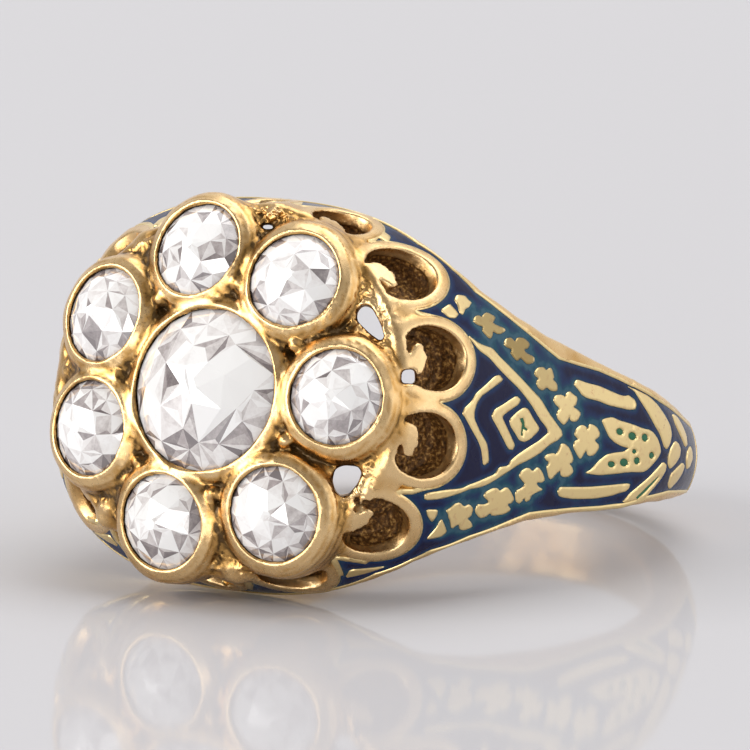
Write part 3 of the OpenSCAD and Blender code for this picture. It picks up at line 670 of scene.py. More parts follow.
def add_collets(block, gold, seats, skirt):
    """The eight rub-over collets, each a little out of round."""
    for k, (at, axes, r, _) in enumerate(seats):
        cut, q = block.framed(at, axes, r + skirt + 2.2)
        round_it = np.arctan2(q[1], q[0])
        out = np.hypot(q[0], q[1]) * (1 + 0.01 * np.sin(3 * round_it + k) + 0.006 * np.sin(7 * round_it + 2 * k))
        up = q[2] + 0.03 * np.sin(2 * round_it + 1.7 * k)
        form = outline_distance(out, up, collet_profile(r, skirt)) - 0.02
        # Marks of the setter's graver, run round the slope of the collet
        marks = np.sin(31 * (up + 0.4 * out) + 2 * np.sin(2 * round_it + k))
        form += 0.01 * marks * np.clip((out - r - 0.2) / 0.1, 0, 1)
        gold[cut] = soft_min(gold[cut], form, 0.16 if k == 0 else 0.22)


def add_beads(block, gold):
    """A bead in the crease between each two outer collets, and folds of gold down some creases."""
    for k, angle in enumerate(junctions()):
        out = np.array([math.cos(angle), math.sin(angle), 0])
        cut, local = block.near(out * BEAD_OUT + np.array([*CLUSTER_AT, CENTRE_Z - BEAD_UNDER]), 0.9)
        bead = np.sqrt(sum(v * v for v in local)) - BEAD_R + 0.03 * math.sin(5 * k)
        gold[cut] = soft_min(gold[cut], bead, 0.16)
        if k in FOLDS:
            run, start = out * 1.75 + np.array([0, 0, -0.85]), out * 4.4 + np.array([*CLUSTER_AT, 13.55])
            cut, local = block.near(start + run / 2, 1.9)
            local = [v + half for v, half in zip(local, run / 2)]
            share = np.clip(sum(v * way for v, way in zip(local, run)) / (run @ run), 0, 1)
            fold = np.sqrt(sum((v - share * way) ** 2 for v, way in zip(local, run))) - 0.3 - 0.16 * share
            gold[cut] = soft_min(gold[cut], fold, 0.3)


def add_gaps(block, gold):
    """Rough punched patches, and the gaps that go right through between collets and gallery."""
    for at, reach in GRAINS:
        cut, local = block.near(at, reach * 1.3)
        off = np.sqrt(sum(v * v for v in local)) / reach
        gold[cut] -= 0.9 * rubble(*block.places(cut)) * np.clip(1.4 - 1.4 * off, 0, 1)
    for at, outline, length in GAPS:
        cut, local = block.near(np.array(at) - GAP_AXES[2] * (length / 2 - 1.5), length / 2 + 1.5)
        right, up, deep = (sum(axis[k] * v for k, v in enumerate(local)) for axis in GAP_AXES)
        hole = soft_max(outline_distance(right, up, finely(outline, 0.3)), np.abs(deep) - length / 2, 0.1)
        gold[cut] = soft_max(gold[cut], -hole, 0.12)


def sculpt_gold(sizes):
    """The soldered mount as distances in a block of space, and the distances to its skin."""
    block = Block((-10.4, -7.4, -10.3), (10.4, 7.4, 15.2), sizes.grid / MM)
    x, y, h = block.x, block.y, block.h
    narrow = left_share(x, h).astype(np.float32)
    outer, spots = skin_field(block, narrow, sizes.arch / MM)
    gold = hollowed(block, narrow, outer)
    for spot in spots:
        pierce(block, gold, outer, *spot)
    web = np.maximum(np.sqrt(x * x + y * y) - WEB_R, np.abs(h - WEB_Z) - WEB_HALF)
    gold = soft_min(gold, web, 0.2).astype(np.float32)
    # Rough metal fills the creases between the collets
    top = np.searchsorted(block.axes[2], 12.4)
    high = h[:, :, top:]
    coarse = rubble(x, y, high)
    under = np.abs(high - FILL_Z + FILL_FALL * (x * x + y * y)) - FILL_HALF
    fill = np.maximum(np.hypot(x / 1.04, y / 0.97) * narrow[:, :, top:] - FILL_R, under) - 1.4 * coarse
    gold[:, :, top:] = soft_min(gold[:, :, top:], fill, 0.15)
    seats = seat_frames(sizes)
    add_collets(block, gold, seats, sizes.skirt / MM)
    add_beads(block, gold)
    # The creases between the collets are left rough from the graver
    crowded = blurred(np.clip(0.5 - gold[:, :, top:] / block.step, 0, 1), 4)
    gold[:, :, top:] -= 0.5 * coarse * np.clip((crowded - 0.52) / 0.12, 0, 1)
    for at, axes, r, _ in seats:
        cut, q = block.framed(at, axes, r + 2.4)
        room = outline_distance(np.hypot(q[0], q[1]), q[2], room_profile(r))
        gold[cut] = np.maximum(gold[cut], -room)
    add_gaps(block, gold)
    # Hand filing leaves every surface gently wavy, and the ring ends just over the floor
    gold += 0.008 * (np.sin(x * 2.1 + h * 1.3) * np.sin(y * 2.7 + h) + np.sin(x * 5 + y * 3.1) * np.sin(h * 4.3))
    floor_under = -(y * math.cos(TILT) + h * math.sin(TILT) + FINGER_AT.z / MM)
    gold = np.maximum(gold, floor_under + 0.004).astype(np.float32)
    return block, gold, outer


def rubble(x, y, h):
    """Lumps about 0.2 mm across, as cast and punched gold has."""
    swirl = np.sin(x * 7.3 + 1.3 * np.sin(y * 5.9)) + np.sin(y * 8.1 + 1.7 * np.sin(h * 6.3))
    lumps = np.sin(x * 17 + swirl) * np.sin(y * 16 + 2 * swirl) * np.sin(h * 18 - swirl)
    return (0.07 * lumps + 0.02 * swirl).astype(np.float32)


def add_number(mesh, name, values):
    """A number for each point of a mesh, which its material reads."""
    attribute = mesh.attributes.new(name, "FLOAT", "POINT")
    attribute.data.foreach_set("value", np.asarray(values, np.float32))


def points_of(mesh):
    """The points of a mesh in the ring's own millimetres."""
    flat = np.empty(len(mesh.vertices) * 3)
    mesh.vertices.foreach_get("co", flat)
    back = LAID.inverted()
    turn = np.array(back.to_3x3())
    return flat.reshape(-1, 3) @ turn.T + np.array(back.translation)


def boxed(places):
    """World places held inside the box of the solid part."""
    return np.clip(places, np.array(cad_low) + 1e-6, np.array(cad_high) - 1e-6)


def triangle_mesh(name, points, triangles):
    """A mesh object in the scene's metres from points in the ring's own millimetres."""
    mesh = bpy.data.meshes.new(name)
    mesh.vertices.add(len(points))
    mesh.vertices.foreach_set("co", boxed(ring_to_world(points)).ravel())
    mesh.loops.add(len(triangles) * 3)
    mesh.loops.foreach_set("vertex_index", triangles.ravel())
    mesh.polygons.add(len(triangles))
    mesh.polygons.foreach_set("loop_start", np.arange(0, len(triangles) * 3, 3))
    mesh.update(calc_edges=True)
    mesh.validate()
    piece = bpy.data.objects.new(name, mesh)
    bpy.context.scene.collection.objects.link(piece)
    return piece


def baked(piece):
    """Puts a piece's modifiers into its mesh, and gives the mesh."""
    graph = bpy.context.evaluated_depsgraph_get()
    mesh = bpy.data.meshes.new_from_object(piece.evaluated_get(graph))
    piece.modifiers.clear()
    old, piece.data = piece.data, mesh
    bpy.data.meshes.remove(old)
    return mesh


def without_crumbs(mesh, fewest):
    """Takes out the loose islands of fewer points than this, which sculpting and thinning out leave."""
    form = bmesh.new()
    form.from_mesh(mesh)
    crumbs, seen = [], set()
    for start in form.verts:
        if start in seen:
            continue
        seen.add(start)
        island = [start]
        for vert in island:
            for edge in vert.link_edges:
                other = edge.other_vert(vert)
                if other not in seen:
                    seen.add(other)
                    island.append(other)
        if len(island) < fewest:
            crumbs += island
    bmesh.ops.delete(form, geom=crumbs, context="VERTS")
    form.to_mesh(mesh)
    form.free()


def on_body(piece, slot, *nodes):
    """Says which body a piece rides on and which nodes it stands for. Its slot is not used."""
    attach(piece, BODY)
    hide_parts(*nodes)


# Materials


def node(tree, kind, inputs=None, stops=(), out=0, **settings):
    """Adds a node with its settings and a colour ramp's stops, sets or links its inputs, and gives one output."""
    made = tree.nodes.new(kind)
    for name, value in settings.items():
        setattr(made, name, value)
    for name, value in (inputs or {}).items():
        if isinstance(value, bpy.types.NodeSocket):
            tree.links.new(value, made.inputs[name])
        else:
            made.inputs[name].default_value = value
    for k, (place, colour) in enumerate(stops):
        point = made.color_ramp.elements[k] if k < 2 else made.color_ramp.elements.new(place)
        point.position, point.color = place, colour
    return made.outputs[out] if made.outputs else None


def cast_gold(tree, place, colours):
    """Antique 18 carat gold, cast, filed and rubbed bright by wear, with a brown film and painted shade in its hollows.

    It gives the eye soft warm highlights on every rubbed edge and near black brown painted shade in the piercings.
    """
    hollow = node(tree, "ShaderNodeAttribute", out="Fac", attribute_name="hollow")
    inner = node(tree, "ShaderNodeAttribute", out="Fac", attribute_name="inner")
    # A film of tarnish gathers unevenly, in patches 0.8 mm across, thickest in the hollows, where it also paints their
    # shade
    patches = node(tree, "ShaderNodeTexNoise", {"Vector": place, "Scale": 1 / (0.8 * MM), "Detail": 2.0})
    film = node(tree, "ShaderNodeMath", {0: patches, 1: 0.35, 2: hollow}, operation="MULTIPLY_ADD")
    tones = [(0.5, colours.gold_worn), (0.68, colours.gold), (0.84, colours.tarnish_and_shade)]
    colour = node(tree, "ShaderNodeValToRGB", {"Fac": film}, tones)
    # Inside the hearts painted shade darkens the rough casting to brown, with bright grains 0.125 mm across
    grains = node(tree, "ShaderNodeTexNoise", {"Vector": place, "Scale": 1 / (0.125 * MM), "Detail": 3.0})
    tones = [(0.34, linear("#4c3317")), (0.54, linear("#80592b")), (0.7, linear("#d8a962"))]
    deep = node(tree, "ShaderNodeValToRGB", {"Fac": grains}, tones)
    mixed = node(tree, "ShaderNodeMix", {"Factor": inner, 6: colour, 7: deep}, out=2, data_type="RGBA")
    # Hand polish leaves the metal gently uneven, 0.588 mm from crest to crest
    dents = node(tree, "ShaderNodeTexNoise", {"Vector": place, "Scale": 1 / (0.588 * MM), "Detail": 2.0})
    wavy = node(tree, "ShaderNodeBump", {"Strength": 0.22, "Distance": 0.05 * MM, "Height": dents})
    lift = node(tree, "ShaderNodeMapRange", {"Value": inner, "To Min": 0.05, "To Max": 1.0})
    bump = node(tree, "ShaderNodeBump", {"Strength": lift, "Distance": 0.06 * MM, "Height": grains, "Normal": wavy})
    # Fine scratches 0.111 mm wide spread its highlights, and the rough casting spreads them more
    marks = node(tree, "ShaderNodeTexNoise", {"Vector": place, "Scale": 1 / (0.1111 * MM), "Detail": 3.0})
    rubbed = node(tree, "ShaderNodeMapRange", {"Value": marks, "From Min": 0.3, "From Max": 0.7,
                                               "To Min": 0.25, "To Max": 0.34})
    rough = node(tree, "ShaderNodeMix", {"Factor": inner, 2: rubbed, 3: 0.5})
    # The film dulls the metal where it is thick
    bare = node(tree, "ShaderNodeMapRange", {"Value": film, "From Min": 0.76, "From Max": 0.92,
                                             "To Min": 1.0, "To Max": 0.55})
    metal = node(tree, "ShaderNodeMix", {"Factor": inner, 2: bare, 3: 0.45})
    return {"Base Color": mixed, "Metallic": metal, "Roughness": rough, "Normal": bump}


def inlaid_gold(tree, place, colours):
    """The same gold where it stands between the enamel, stoned flat with it and polished.

    It gives the eye flat bright shapes, paler than the gold round them.
    """
    # Scratches of the stone, drawn 0.2 mm apart
    marks = node(tree, "ShaderNodeTexNoise", {"Vector": place, "Scale": 1 / (0.2 * MM), "Detail": 4.0})
    colour = node(tree, "ShaderNodeValToRGB", {"Fac": marks}, [(0.25, colours.gold_worn), (0.45, linear("#f5db9f"))])
    # A thin brown film dulls some of the motifs
    film = node(tree, "ShaderNodeAttribute", out="Fac", attribute_name="film")
    dulled = node(tree, "ShaderNodeMix", {"Factor": film, 6: colour, 7: linear("#8a703c")}, out=2, data_type="RGBA")
    rough = node(tree, "ShaderNodeMapRange", {"Value": marks, "To Min": 0.24, "To Max": 0.36})
    bump = node(tree, "ShaderNodeBump", {"Strength": 0.08, "Distance": 0.03 * MM, "Height": marks})
    return {"Base Color": dulled, "Metallic": 1.0, "Roughness": rough, "Normal": bump}


def fired_enamel(tree, place, colours):
    """Vitreous champleve enamel, fired in recesses and stoned flush.

    It is dark and glossy, deep navy where it is thick and teal where it thins towards the gold.
    """
    edge = node(tree, "ShaderNodeAttribute", out="Fac", attribute_name="edge")
    # The glass runs unevenly, in clouds 0.714 mm across
    clouds = node(tree, "ShaderNodeTexNoise", {"Vector": place, "Scale": 1 / (0.714 * MM), "Detail": 3.0})
    depth = node(tree, "ShaderNodeMath", {0: clouds, 1: 0.5, 2: edge}, operation="MULTIPLY_ADD")
    tones = [(0.24, colours.teal), (0.6, linear("#0f2852")), (0.85, colours.navy)]
    colour = node(tree, "ShaderNodeValToRGB", {"Fac": depth}, tones)
    # Pale wisps 0.294 mm across show where it is thinnest
    pale = node(tree, "ShaderNodeHueSaturation", {"Value": 1.7, "Saturation": 0.75, "Color": colours.teal})
    wisps = node(tree, "ShaderNodeTexNoise", {"Vector": place, "Scale": 1 / (0.294 * MM), "Detail": 2.0})
    thin = node(tree, "ShaderNodeMath", {0: wisps, 1: -0.9, 2: depth}, operation="MULTIPLY_ADD")
    share = node(tree, "ShaderNodeMapRange", {"Value": thin, "From Min": -0.32, "From Max": -0.12,
                                              "To Min": 0.5, "To Max": 0.0})
    glass = node(tree, "ShaderNodeMix", {"Factor": share, 6: colour, 7: pale}, out=2, data_type="RGBA")
    # The dots let into the gold are of green enamel
    green = node(tree, "ShaderNodeAttribute", out="Fac", attribute_name="green")
    dotted = node(tree, "ShaderNodeMix", {"Factor": green, 6: glass, 7: colours.green}, out=2, data_type="RGBA")
    # The stoned surface waves a little, 0.4 mm from crest to crest
    waves = node(tree, "ShaderNodeTexNoise", {"Vector": place, "Scale": 1 / (0.4 * MM), "Detail": 1.0})
    bump = node(tree, "ShaderNodeBump", {"Strength": 0.35, "Distance": 0.05 * MM, "Height": waves})
    rough = node(tree, "ShaderNodeMapRange", {"Value": clouds, "To Min": 0.16, "To Max": 0.34})
    return {"Base Color": dotted, "Roughness": rough, "Specular IOR Level": 0.25, "Normal": bump}


def cut_diamond(tree, place, _):
    """Rose-cut diamond, hand polished: bright and sharply edged, a little milky, with each facet's reflection painted
    in, from warm grey to white.
    """
    painted_facet_light = node(tree, "ShaderNodeAttribute", out="Fac", attribute_name="painted_facet_light")
    # Fine clouds and feathers inside the stone, 0.3125 mm across, and each facet's painted reflection, warm grey to
    # white
    clouds = node(tree, "ShaderNodeTexNoise", {"Vector": place, "Scale": 1 / (0.3125 * MM), "Detail": 4.0,
                                               "Roughness": 0.7})
    depth = node(tree, "ShaderNodeMath", {0: clouds, 1: 0.5, 2: painted_facet_light}, operation="MULTIPLY_ADD")
    tones = [(0.2, linear("#746b6d")), (0.42, linear("#aea5a5")), (0.62, linear("#e4dfde")), (0.88, linear("#ffffff"))]
    tint = node(tree, "ShaderNodeValToRGB", {"Fac": depth}, tones)
    return {"Base Color": tint, "Roughness": 0.02, "IOR": 2.417, "Transmission Weight": 0.12}


def silver_foil(tree, place, _):
    """Silvered foil, beaten thin and closed in behind each stone: it throws the light back with a faint crinkle."""
    # Crinkles 0.625 mm across
    crinkle = node(tree, "ShaderNodeTexNoise", {"Vector": place, "Scale": 1 / (0.625 * MM), "Detail": 2.0})
    tones = [(0.35, linear("#e2dcda")), (0.5, linear("#ffffff"))]
    tint = node(tree, "ShaderNodeValToRGB", {"Fac": crinkle}, tones)
    bump = node(tree, "ShaderNodeBump", {"Strength": 0.1, "Distance": 0.05 * MM, "Height": crinkle})
    return {"Base Color": tint, "Metallic": 1.0, "Roughness": 0.28, "Normal": bump}


def acrylic(tree, place, colours):
    """Polished white acrylic sheet, faintly mirror-like at a low angle."""
    # Handling leaves a faint haze, in patches 25 mm across
    haze = node(tree, "ShaderNodeTexNoise", {"Vector": place, "Scale": 1 / (25 * MM), "Detail": 2.0})
    rough = node(tree, "ShaderNodeMapRange", {"Value": haze, "To Min": 0.05, "To Max": 0.07})
    return {"Base Color": colours.floor, "Roughness": rough, "Specular IOR Level": 0.015}


FINISHES = {
    "gold": ("gold_18_carat_worn", cast_gold),
    "inlay": ("gold_18_carat_stoned_flat", inlaid_gold),
    "enamel": ("vitreous_enamel_blue", fired_enamel),
    "diamond": ("diamond_rose_cut", cut_diamond),
    "foil": ("silver_foil", silver_foil),
    "acrylic": ("white_acrylic", acrylic),
}


def material_of(finish):
    """The material of a finish, made once and shared."""
    name, look = FINISHES[finish]
    made = bpy.data.materials.get(name)
    if made is None:
        made = bpy.data.materials.new(name)
        made.use_nodes = True
        tree = made.node_tree
        tree.nodes.clear()
        place = node(tree, "ShaderNodeTexCoord", out="Object")
        shader = node(tree, "ShaderNodeBsdfPrincipled", look(tree, place, bpy.context.scene.ring_colours))
        node(tree, "ShaderNodeOutputMaterial", {"Surface": shader})
    return made


def tarnish_and_shade(block, gold, at, seats):
    """How closed in each point of the mount is, as its film of tarnish and the painted shade in its hollows show it."""
    # The share of metal within about half a millimetre
    filled = blurred(np.clip(0.5 - gold / block.step, 0, 1), int(round(0.32 / block.step)))
    hollow = block.sample(filled, at)
    for k, (place, axes, r, _) in enumerate(seats):
        local = (at - place) @ axes
        off, up = np.hypot(local[:, 0], local[:, 1]) - r, local[:, 2]
        turn = np.arctan2(local[:, 1], local[:, 0])
        # The fine line where the lip is rubbed over the stone
        hollow += 0.3 * np.exp(-((off + 0.02) / 0.06) ** 2) * (np.abs(up) < 0.4)
        # The graver's marks round the stone
        marks = np.sin(17 * (off - up) + 2 * np.sin(2 * turn + k) + np.sin(5 * turn - k))
        slope = np.clip((off - 0.14) / 0.1, 0, 1) * np.clip((0.95 - off) / 0.2, 0, 1) * (np.abs(up + 0.5) < 0.9)
        hollow += 0.12 * np.clip(marks, -0.2, 1) * slope
    return hollow


def heart_shade_share(block, outer, at):
    """How deep each point lies in the rough inside of the hearts, 0 to 1, where dark shade is painted on the gold."""
    depth = -block.sample(outer, at)
    off_bore = np.abs(np.hypot(at[:, 0], at[:, 2]) - FINGER_R)
    inner = np.clip((depth - 0.2) / 0.35, 0, 1) * np.clip((at[:, 2] - 8.6) / 1.2, 0, 1)
    return inner * np.clip((off_bore - 0.1) / 0.3, 0, 1) * (at[:, 2] < GALLERY_TOP)


def normals_of(block, gold, at, d=0.04):
    """The sculpted gold's own normals at its points, in the scene's axes."""
    slope = np.stack([block.sample(gold, at + d * axis) - block.sample(gold, at - d * axis)
                      for axis in np.eye(3)], axis=1)
    slope /= np.linalg.norm(slope, axis=1)[:, None] + 1e-9
    return slope @ (np.array(LAID.to_3x3()) / MM).T


class RING_OT_mount(bpy.types.Operator):
    """Sculpts the soldered gold mount: shank, shoulders, pierced gallery and rub-over collets"""

    bl_idname = "ring.mount"
    bl_label = "Gold mount"

    def execute(self, context):
        sizes = context.scene.ring_sizes
        block, gold, outer = sculpt_gold(sizes)
        limit = 4 * block.step
        grid = openvdb.FloatGrid(background=limit)
        grid.copyFromArray(np.clip(gold, -limit, limit))
        points, triangles, quads = grid.convertToPolygons(isovalue=0, adaptivity=0)
        quads = quads.astype(np.int64)
        triangles = np.concatenate([triangles.reshape(-1, 3).astype(np.int64),
                                    quads[:, [0, 1, 2]], quads[:, [0, 2, 3]]])
        points = points.astype(float) * block.step + np.array(block.low)
        piece = triangle_mesh("gold_mount_worn", points, triangles)
        reduce = piece.modifiers.new("fewer", "DECIMATE")
        reduce.ratio = min(1, sizes.most_triangles / len(triangles))
        mesh = baked(piece)
        without_crumbs(mesh, 200)
        at = points_of(mesh)
        mesh.vertices.foreach_set("co", boxed(ring_to_world(at)).ravel())
        # Tarnish in the hollows, which is also painted shade, and the painted shade deep inside the hearts
        add_number(mesh, "hollow", tarnish_and_shade(block, gold, at, seat_frames(sizes)))
        add_number(mesh, "inner", heart_shade_share(block, outer, at))
        mesh.shade_smooth()
        mesh.normals_split_custom_set_from_vertices(normals_of(block, gold, at).tolist())
        mesh.materials.append(material_of("gold"))
        on_body(piece, "gold", "gold_mount")
        return {"FINISHED"}


def short_way(angle):
    """An angle from 0 to a whole turn as one from minus half a turn to half a turn."""
    return angle if angle < math.pi else angle - 2 * math.pi


def flat_round(angle, h):
    """The flat place of a direction round the head at a height."""
    x, y, s = skin.section(h)
    return float(np.interp(angle, np.arctan2(y, np.maximum(x, 1e-4)), s))


def flat_arch(angle, side, height, radius, count=60):
    """The circle round an opening of the gallery, in the flat pattern."""
    out = []
    for k in range(count):
        a = 2 * math.pi * k / count
        along, h = side * radius * LOBE[0] * math.cos(a), height + radius * LOBE[1] * math.sin(a)
        h = min(h, GALLERY_TOP + 0.6)
        x, y, s = skin.section(h)
        ahead = np.abs(np.arctan2(y, np.maximum(x, 1e-4)) - angle) < 0.7
        out.append((float(np.interp(along, (-x * math.sin(angle) + y * math.cos(angle))[ahead], s[ahead])), h))
    return np.array(out)


def flat_field():
    """The whole edge of the right half's enamel in the flat pattern, round to the middle of the head's sides."""
    end = math.radians(89.4)
    right = [(flat_round(end * k / 8, ENAMEL_LOW), ENAMEL_LOW) for k in (8, 7, 6)]
    left = [(-s, h) for s, h in right]
    right += [tuple(p) for p in unrolled.flat(FIELD_UPPER)]
    left += [tuple(p) for p in unrolled.flat(FIELD_LOWER)]
    turns = [heart[1] for heart in HEARTS]
    between = [math.radians((a + b) / 2) for a, b in zip(turns, turns[1:] + [turns[0] + 360])]
    tips = sorted([(short_way(a), *TIP_BETWEEN) for a in between] +
                  [(short_way(math.radians(turn)), *TIP_WITHIN) for turn in turns])
    top = [(-end, 11.0)]
    for at, half_width, peak in [tip for tip in tips if abs(tip[0]) < end - 0.1]:
        wide, waist = half_width / TIP_OUT, half_width * WAIST_SHARE / TIP_OUT
        top += [(at - wide, TIP_FOOT), (at - waist, TIP_WAIST), (at, peak), (at + waist, TIP_WAIST),
                (at + wide, TIP_FOOT)]
    top.append((end, 11.0))
    return np.array([(flat_round(a, h), h) for a, h in top] + right + left[::-1])


def grown(loop, by):
    """A closed outline moved outwards."""
    before, after = np.roll(loop, 1, axis=0), np.roll(loop, -1, axis=0)
    along = after - before
    along /= np.linalg.norm(along, axis=1)[:, None] + 1e-9
    side = np.sign(np.sum(loop[:, 0] * after[:, 1] - after[:, 0] * loop[:, 1]))
    return loop + side * by * np.stack([along[:, 1], -along[:, 0]], axis=1)


def in_any(points, outlines):
    """Which points lie inside any of the outlines."""
    hit = np.zeros(len(points), bool)
    for outline in outlines:
        hit |= inside(points, outline)
    return hit


def gap_finder(outlines):
    """A function that gives how far each point is from the nearest of the outlines."""
    dense = np.concatenate([resampled(outline, 0.03) for outline in outlines])
    tree = KDTree(len(dense))
    for k, (s, h) in enumerate(dense):
        tree.insert((s, h, 0), k)
    tree.balance()
    return lambda points: np.array([tree.find((s, h, 0))[2] for s, h in points])


def staggered(outlines, step, gap_of):
    """Points inside the outlines on a staggered grid, none of them close to a line of the pattern."""
    low, high = np.min(np.concatenate(outlines), axis=0), np.max(np.concatenate(outlines), axis=0)
    s, h = np.meshgrid(np.arange(low[0], high[0], step), np.arange(low[1], high[1], step * 0.87))
    s = s + (np.arange(s.shape[0]) % 2)[:, None] * step / 2
    spots = np.stack([s.ravel(), h.ravel()], axis=1)
    spots = spots[in_any(spots, outlines)]
    return spots[gap_of(spots) > step * 0.45]


class Pattern:
    """The enamel and the gold drawn in it on the right half, as one flat sheet of triangles."""

    def __init__(self, arch):
        shapes, dots = ([unrolled.flat(outline) for outline in group] for group in gold_outlines())
        field = resampled(flat_field(), 0.07)
        outer = grown(field, 0.2)
        arches = [(short_way(a), side, h, r) for a, side, h, r in openings()]
        arches = [spot for spot in arches if abs(spot[0]) < math.radians(104)]
        rings = [flat_arch(a, side, h, r + arch + 0.04) for a, side, h, r in arches]
        sunk = [flat_arch(a, side, h, r + arch - 0.14, 52) for a, side, h, r in arches]
        gap_of = gap_finder([field] + rings + shapes + dots)
        verts, edges = [], []
        for loop in [field, outer] + rings + sunk + shapes + dots:
            first = len(verts)
            verts += [Vector(p) for p in loop]
            edges += [(first + k, first + (k + 1) % len(loop)) for k in range(len(loop))]
        for spots in (staggered([field], 0.13, gap_of), staggered(shapes, 0.065, gap_of), grown(field, 0.1)[::2]):
            verts += [Vector(p) for p in spots]
        places, _, faces, _, _, _ = delaunay_2d_cdt(verts, edges, [], 0, 1e-5)
        self.flat = np.array([(p.x, p.y) for p in places])
        self.faces = np.array([f for f in faces if len(f) == 3])
        self.gap = gap_of(self.flat)
        middle = self.flat[self.faces].mean(axis=1)
        in_field, in_outer = inside(middle, field), inside(middle, outer)
        in_ring, in_sunk, in_shape, in_dot = (in_any(middle, group) for group in (rings, sunk, shapes, dots))
        self.dot = in_dot
        self.drawn = in_shape & ~in_dot & in_field & ~in_ring
        self.blue = in_field & ~in_ring & ~self.drawn
        # A strip of gold runs round the whole field and under the edge of each arch
        self.strip = (in_outer & ~in_field & ~in_sunk) | (in_ring & ~in_sunk & in_field)

    def sheet(self, chosen):
        """Which points some of the faces use, and the faces by their new numbers."""
        used, index = np.unique(self.faces[chosen], return_inverse=True)
        return used, index.reshape(-1, 3)

    def uses(self, used, chosen):
        """Which of the used points some of the faces have."""
        return np.isin(used, self.faces[chosen])

    def off_crosses(self, used):
        """How far each used point is from the middle of each cross."""
        centres = unrolled.flat([np.mean(cross, axis=0) for cross in CROSSES])
        return np.linalg.norm(self.flat[used][:, None] - centres, axis=2)


def rim_edges(triangles):
    """The open edges of a sheet of triangles, in the order that its faces use them."""
    pairs = np.concatenate([triangles[:, [0, 1]], triangles[:, [1, 2]], triangles[:, [2, 0]]])
    keys = pairs.min(axis=1).astype(np.int64) * (1 << 32) + pairs.max(axis=1)
    _, where, count = np.unique(keys, return_index=True, return_counts=True)
    return pairs[where[count == 1]]


def walled(flat, points, triangles):
    """A raised sheet with walls round it, down to the bottom of the recess."""
    rim = rim_edges(triangles)
    foot = unrolled.lift(flat[rim[:, 0]], np.full(len(rim), -RECESS))
    order = {int(a): len(points) + k for k, a in enumerate(rim[:, 0])}
    walls = []
    for a, b in rim:
        if int(b) in order:
            walls += [(b, a, order[int(a)]), (b, order[int(a)], order[int(b)])]
    return np.concatenate([points, foot]), np.concatenate([triangles, np.array(walls)])


def laid(name, finish, side, points, triangles, numbers):
    """Lays a sheet on the right half of the ring, or turned over on the left half."""
    points = points * np.array([side, 1, 1])
    points[:, :2] /= left_share(points[:, 0], points[:, 2])[:, None]
    piece = triangle_mesh(name, points, np.ascontiguousarray(triangles[:, ::side]))
    for label, values in numbers.items():
        add_number(piece.data, label, values)
    piece.data.shade_smooth()
    piece.data.materials.append(material_of(finish))
    return piece


class RING_OT_shoulders(bpy.types.Operator):
    """Lays the champleve enamel and the gold drawn in it on both shoulders and round the head"""

    bl_idname = "ring.shoulders"
    bl_label = "Enamelled shoulders"

    def execute(self, context):
        sizes = context.scene.ring_sizes
        proud = sizes.proud / MM
        pattern = Pattern(sizes.arch / MM)

        # The enamel, a little lower along the gold, and how thick it looks
        used, glass = pattern.sheet(pattern.blue)
        off = pattern.gap[used]
        level = unrolled.lift(pattern.flat[used], -0.012 - 0.02 * np.exp(-off / 0.05) - proud)
        row = np.clip((pattern.off_crosses(used).min(axis=1) - 0.75) / 0.55, 0, 1)
        thick = {"edge": np.minimum(off / 0.5, 0.6) + 0.5 * row - 0.32, "green": pattern.uses(used, pattern.dot)}

        # The gold, a little lower along its edges, and the film on three of the crosses
        used, inlay = pattern.sheet(pattern.drawn | pattern.strip)
        off = pattern.gap[used]
        rise = proud * np.clip(off / 0.05, 0, 1) ** 0.5
        only_strip = pattern.uses(used, pattern.strip) & ~pattern.uses(used, pattern.drawn)
        height = np.where(only_strip, rise - 0.09 * np.clip((off - 0.06) / 0.14, 0, 1) ** 2, rise)
        raised = unrolled.lift(pattern.flat[used], height - proud)
        raised, inlay = walled(pattern.flat[used], raised, inlay)
        film = np.zeros(len(raised))
        film[:len(used)] = np.max((pattern.off_crosses(used)[:, :len(FILMS)] < CROSS_R) * np.array(FILMS), axis=1)

        for side, place, nodes in ((1, "right", ["enamel_right", "enamel_cell_1", "enamel_cell_2"]),
                                   (-1, "left", ["enamel_left"])):
            piece = laid(f"enamel_skin_{place}", "enamel", side, level, glass, thick)
            on_body(piece, "blue_enamel", *nodes)
            piece = laid(f"inlay_skin_{place}", "inlay", side, raised, inlay, {"film": film})
            on_body(piece, "gold", "gold_mount")
        return {"FINISHED"}


# Rows of corners of a stone's facets, from its table out: how many, and how far out in radii
CORNERS = [(6, 0.12), (6, 0.5), (12, 0.79), (24, 1.0)]
# The first of the seeds that make each stone's facets uneven
FACET_SEED = 11
# The outline of the centre stone's large facets, painted white as a painted highlight, in its radii
HIGHLIGHT_KITE = [(0.45, 0.58), (0.93, 0.28), (0.78, 0.05), (0.62, -0.2), (0.14, -0.66), (0.08, -0.2), (-0.08, 0.24),
        (0.2, 0.32)]


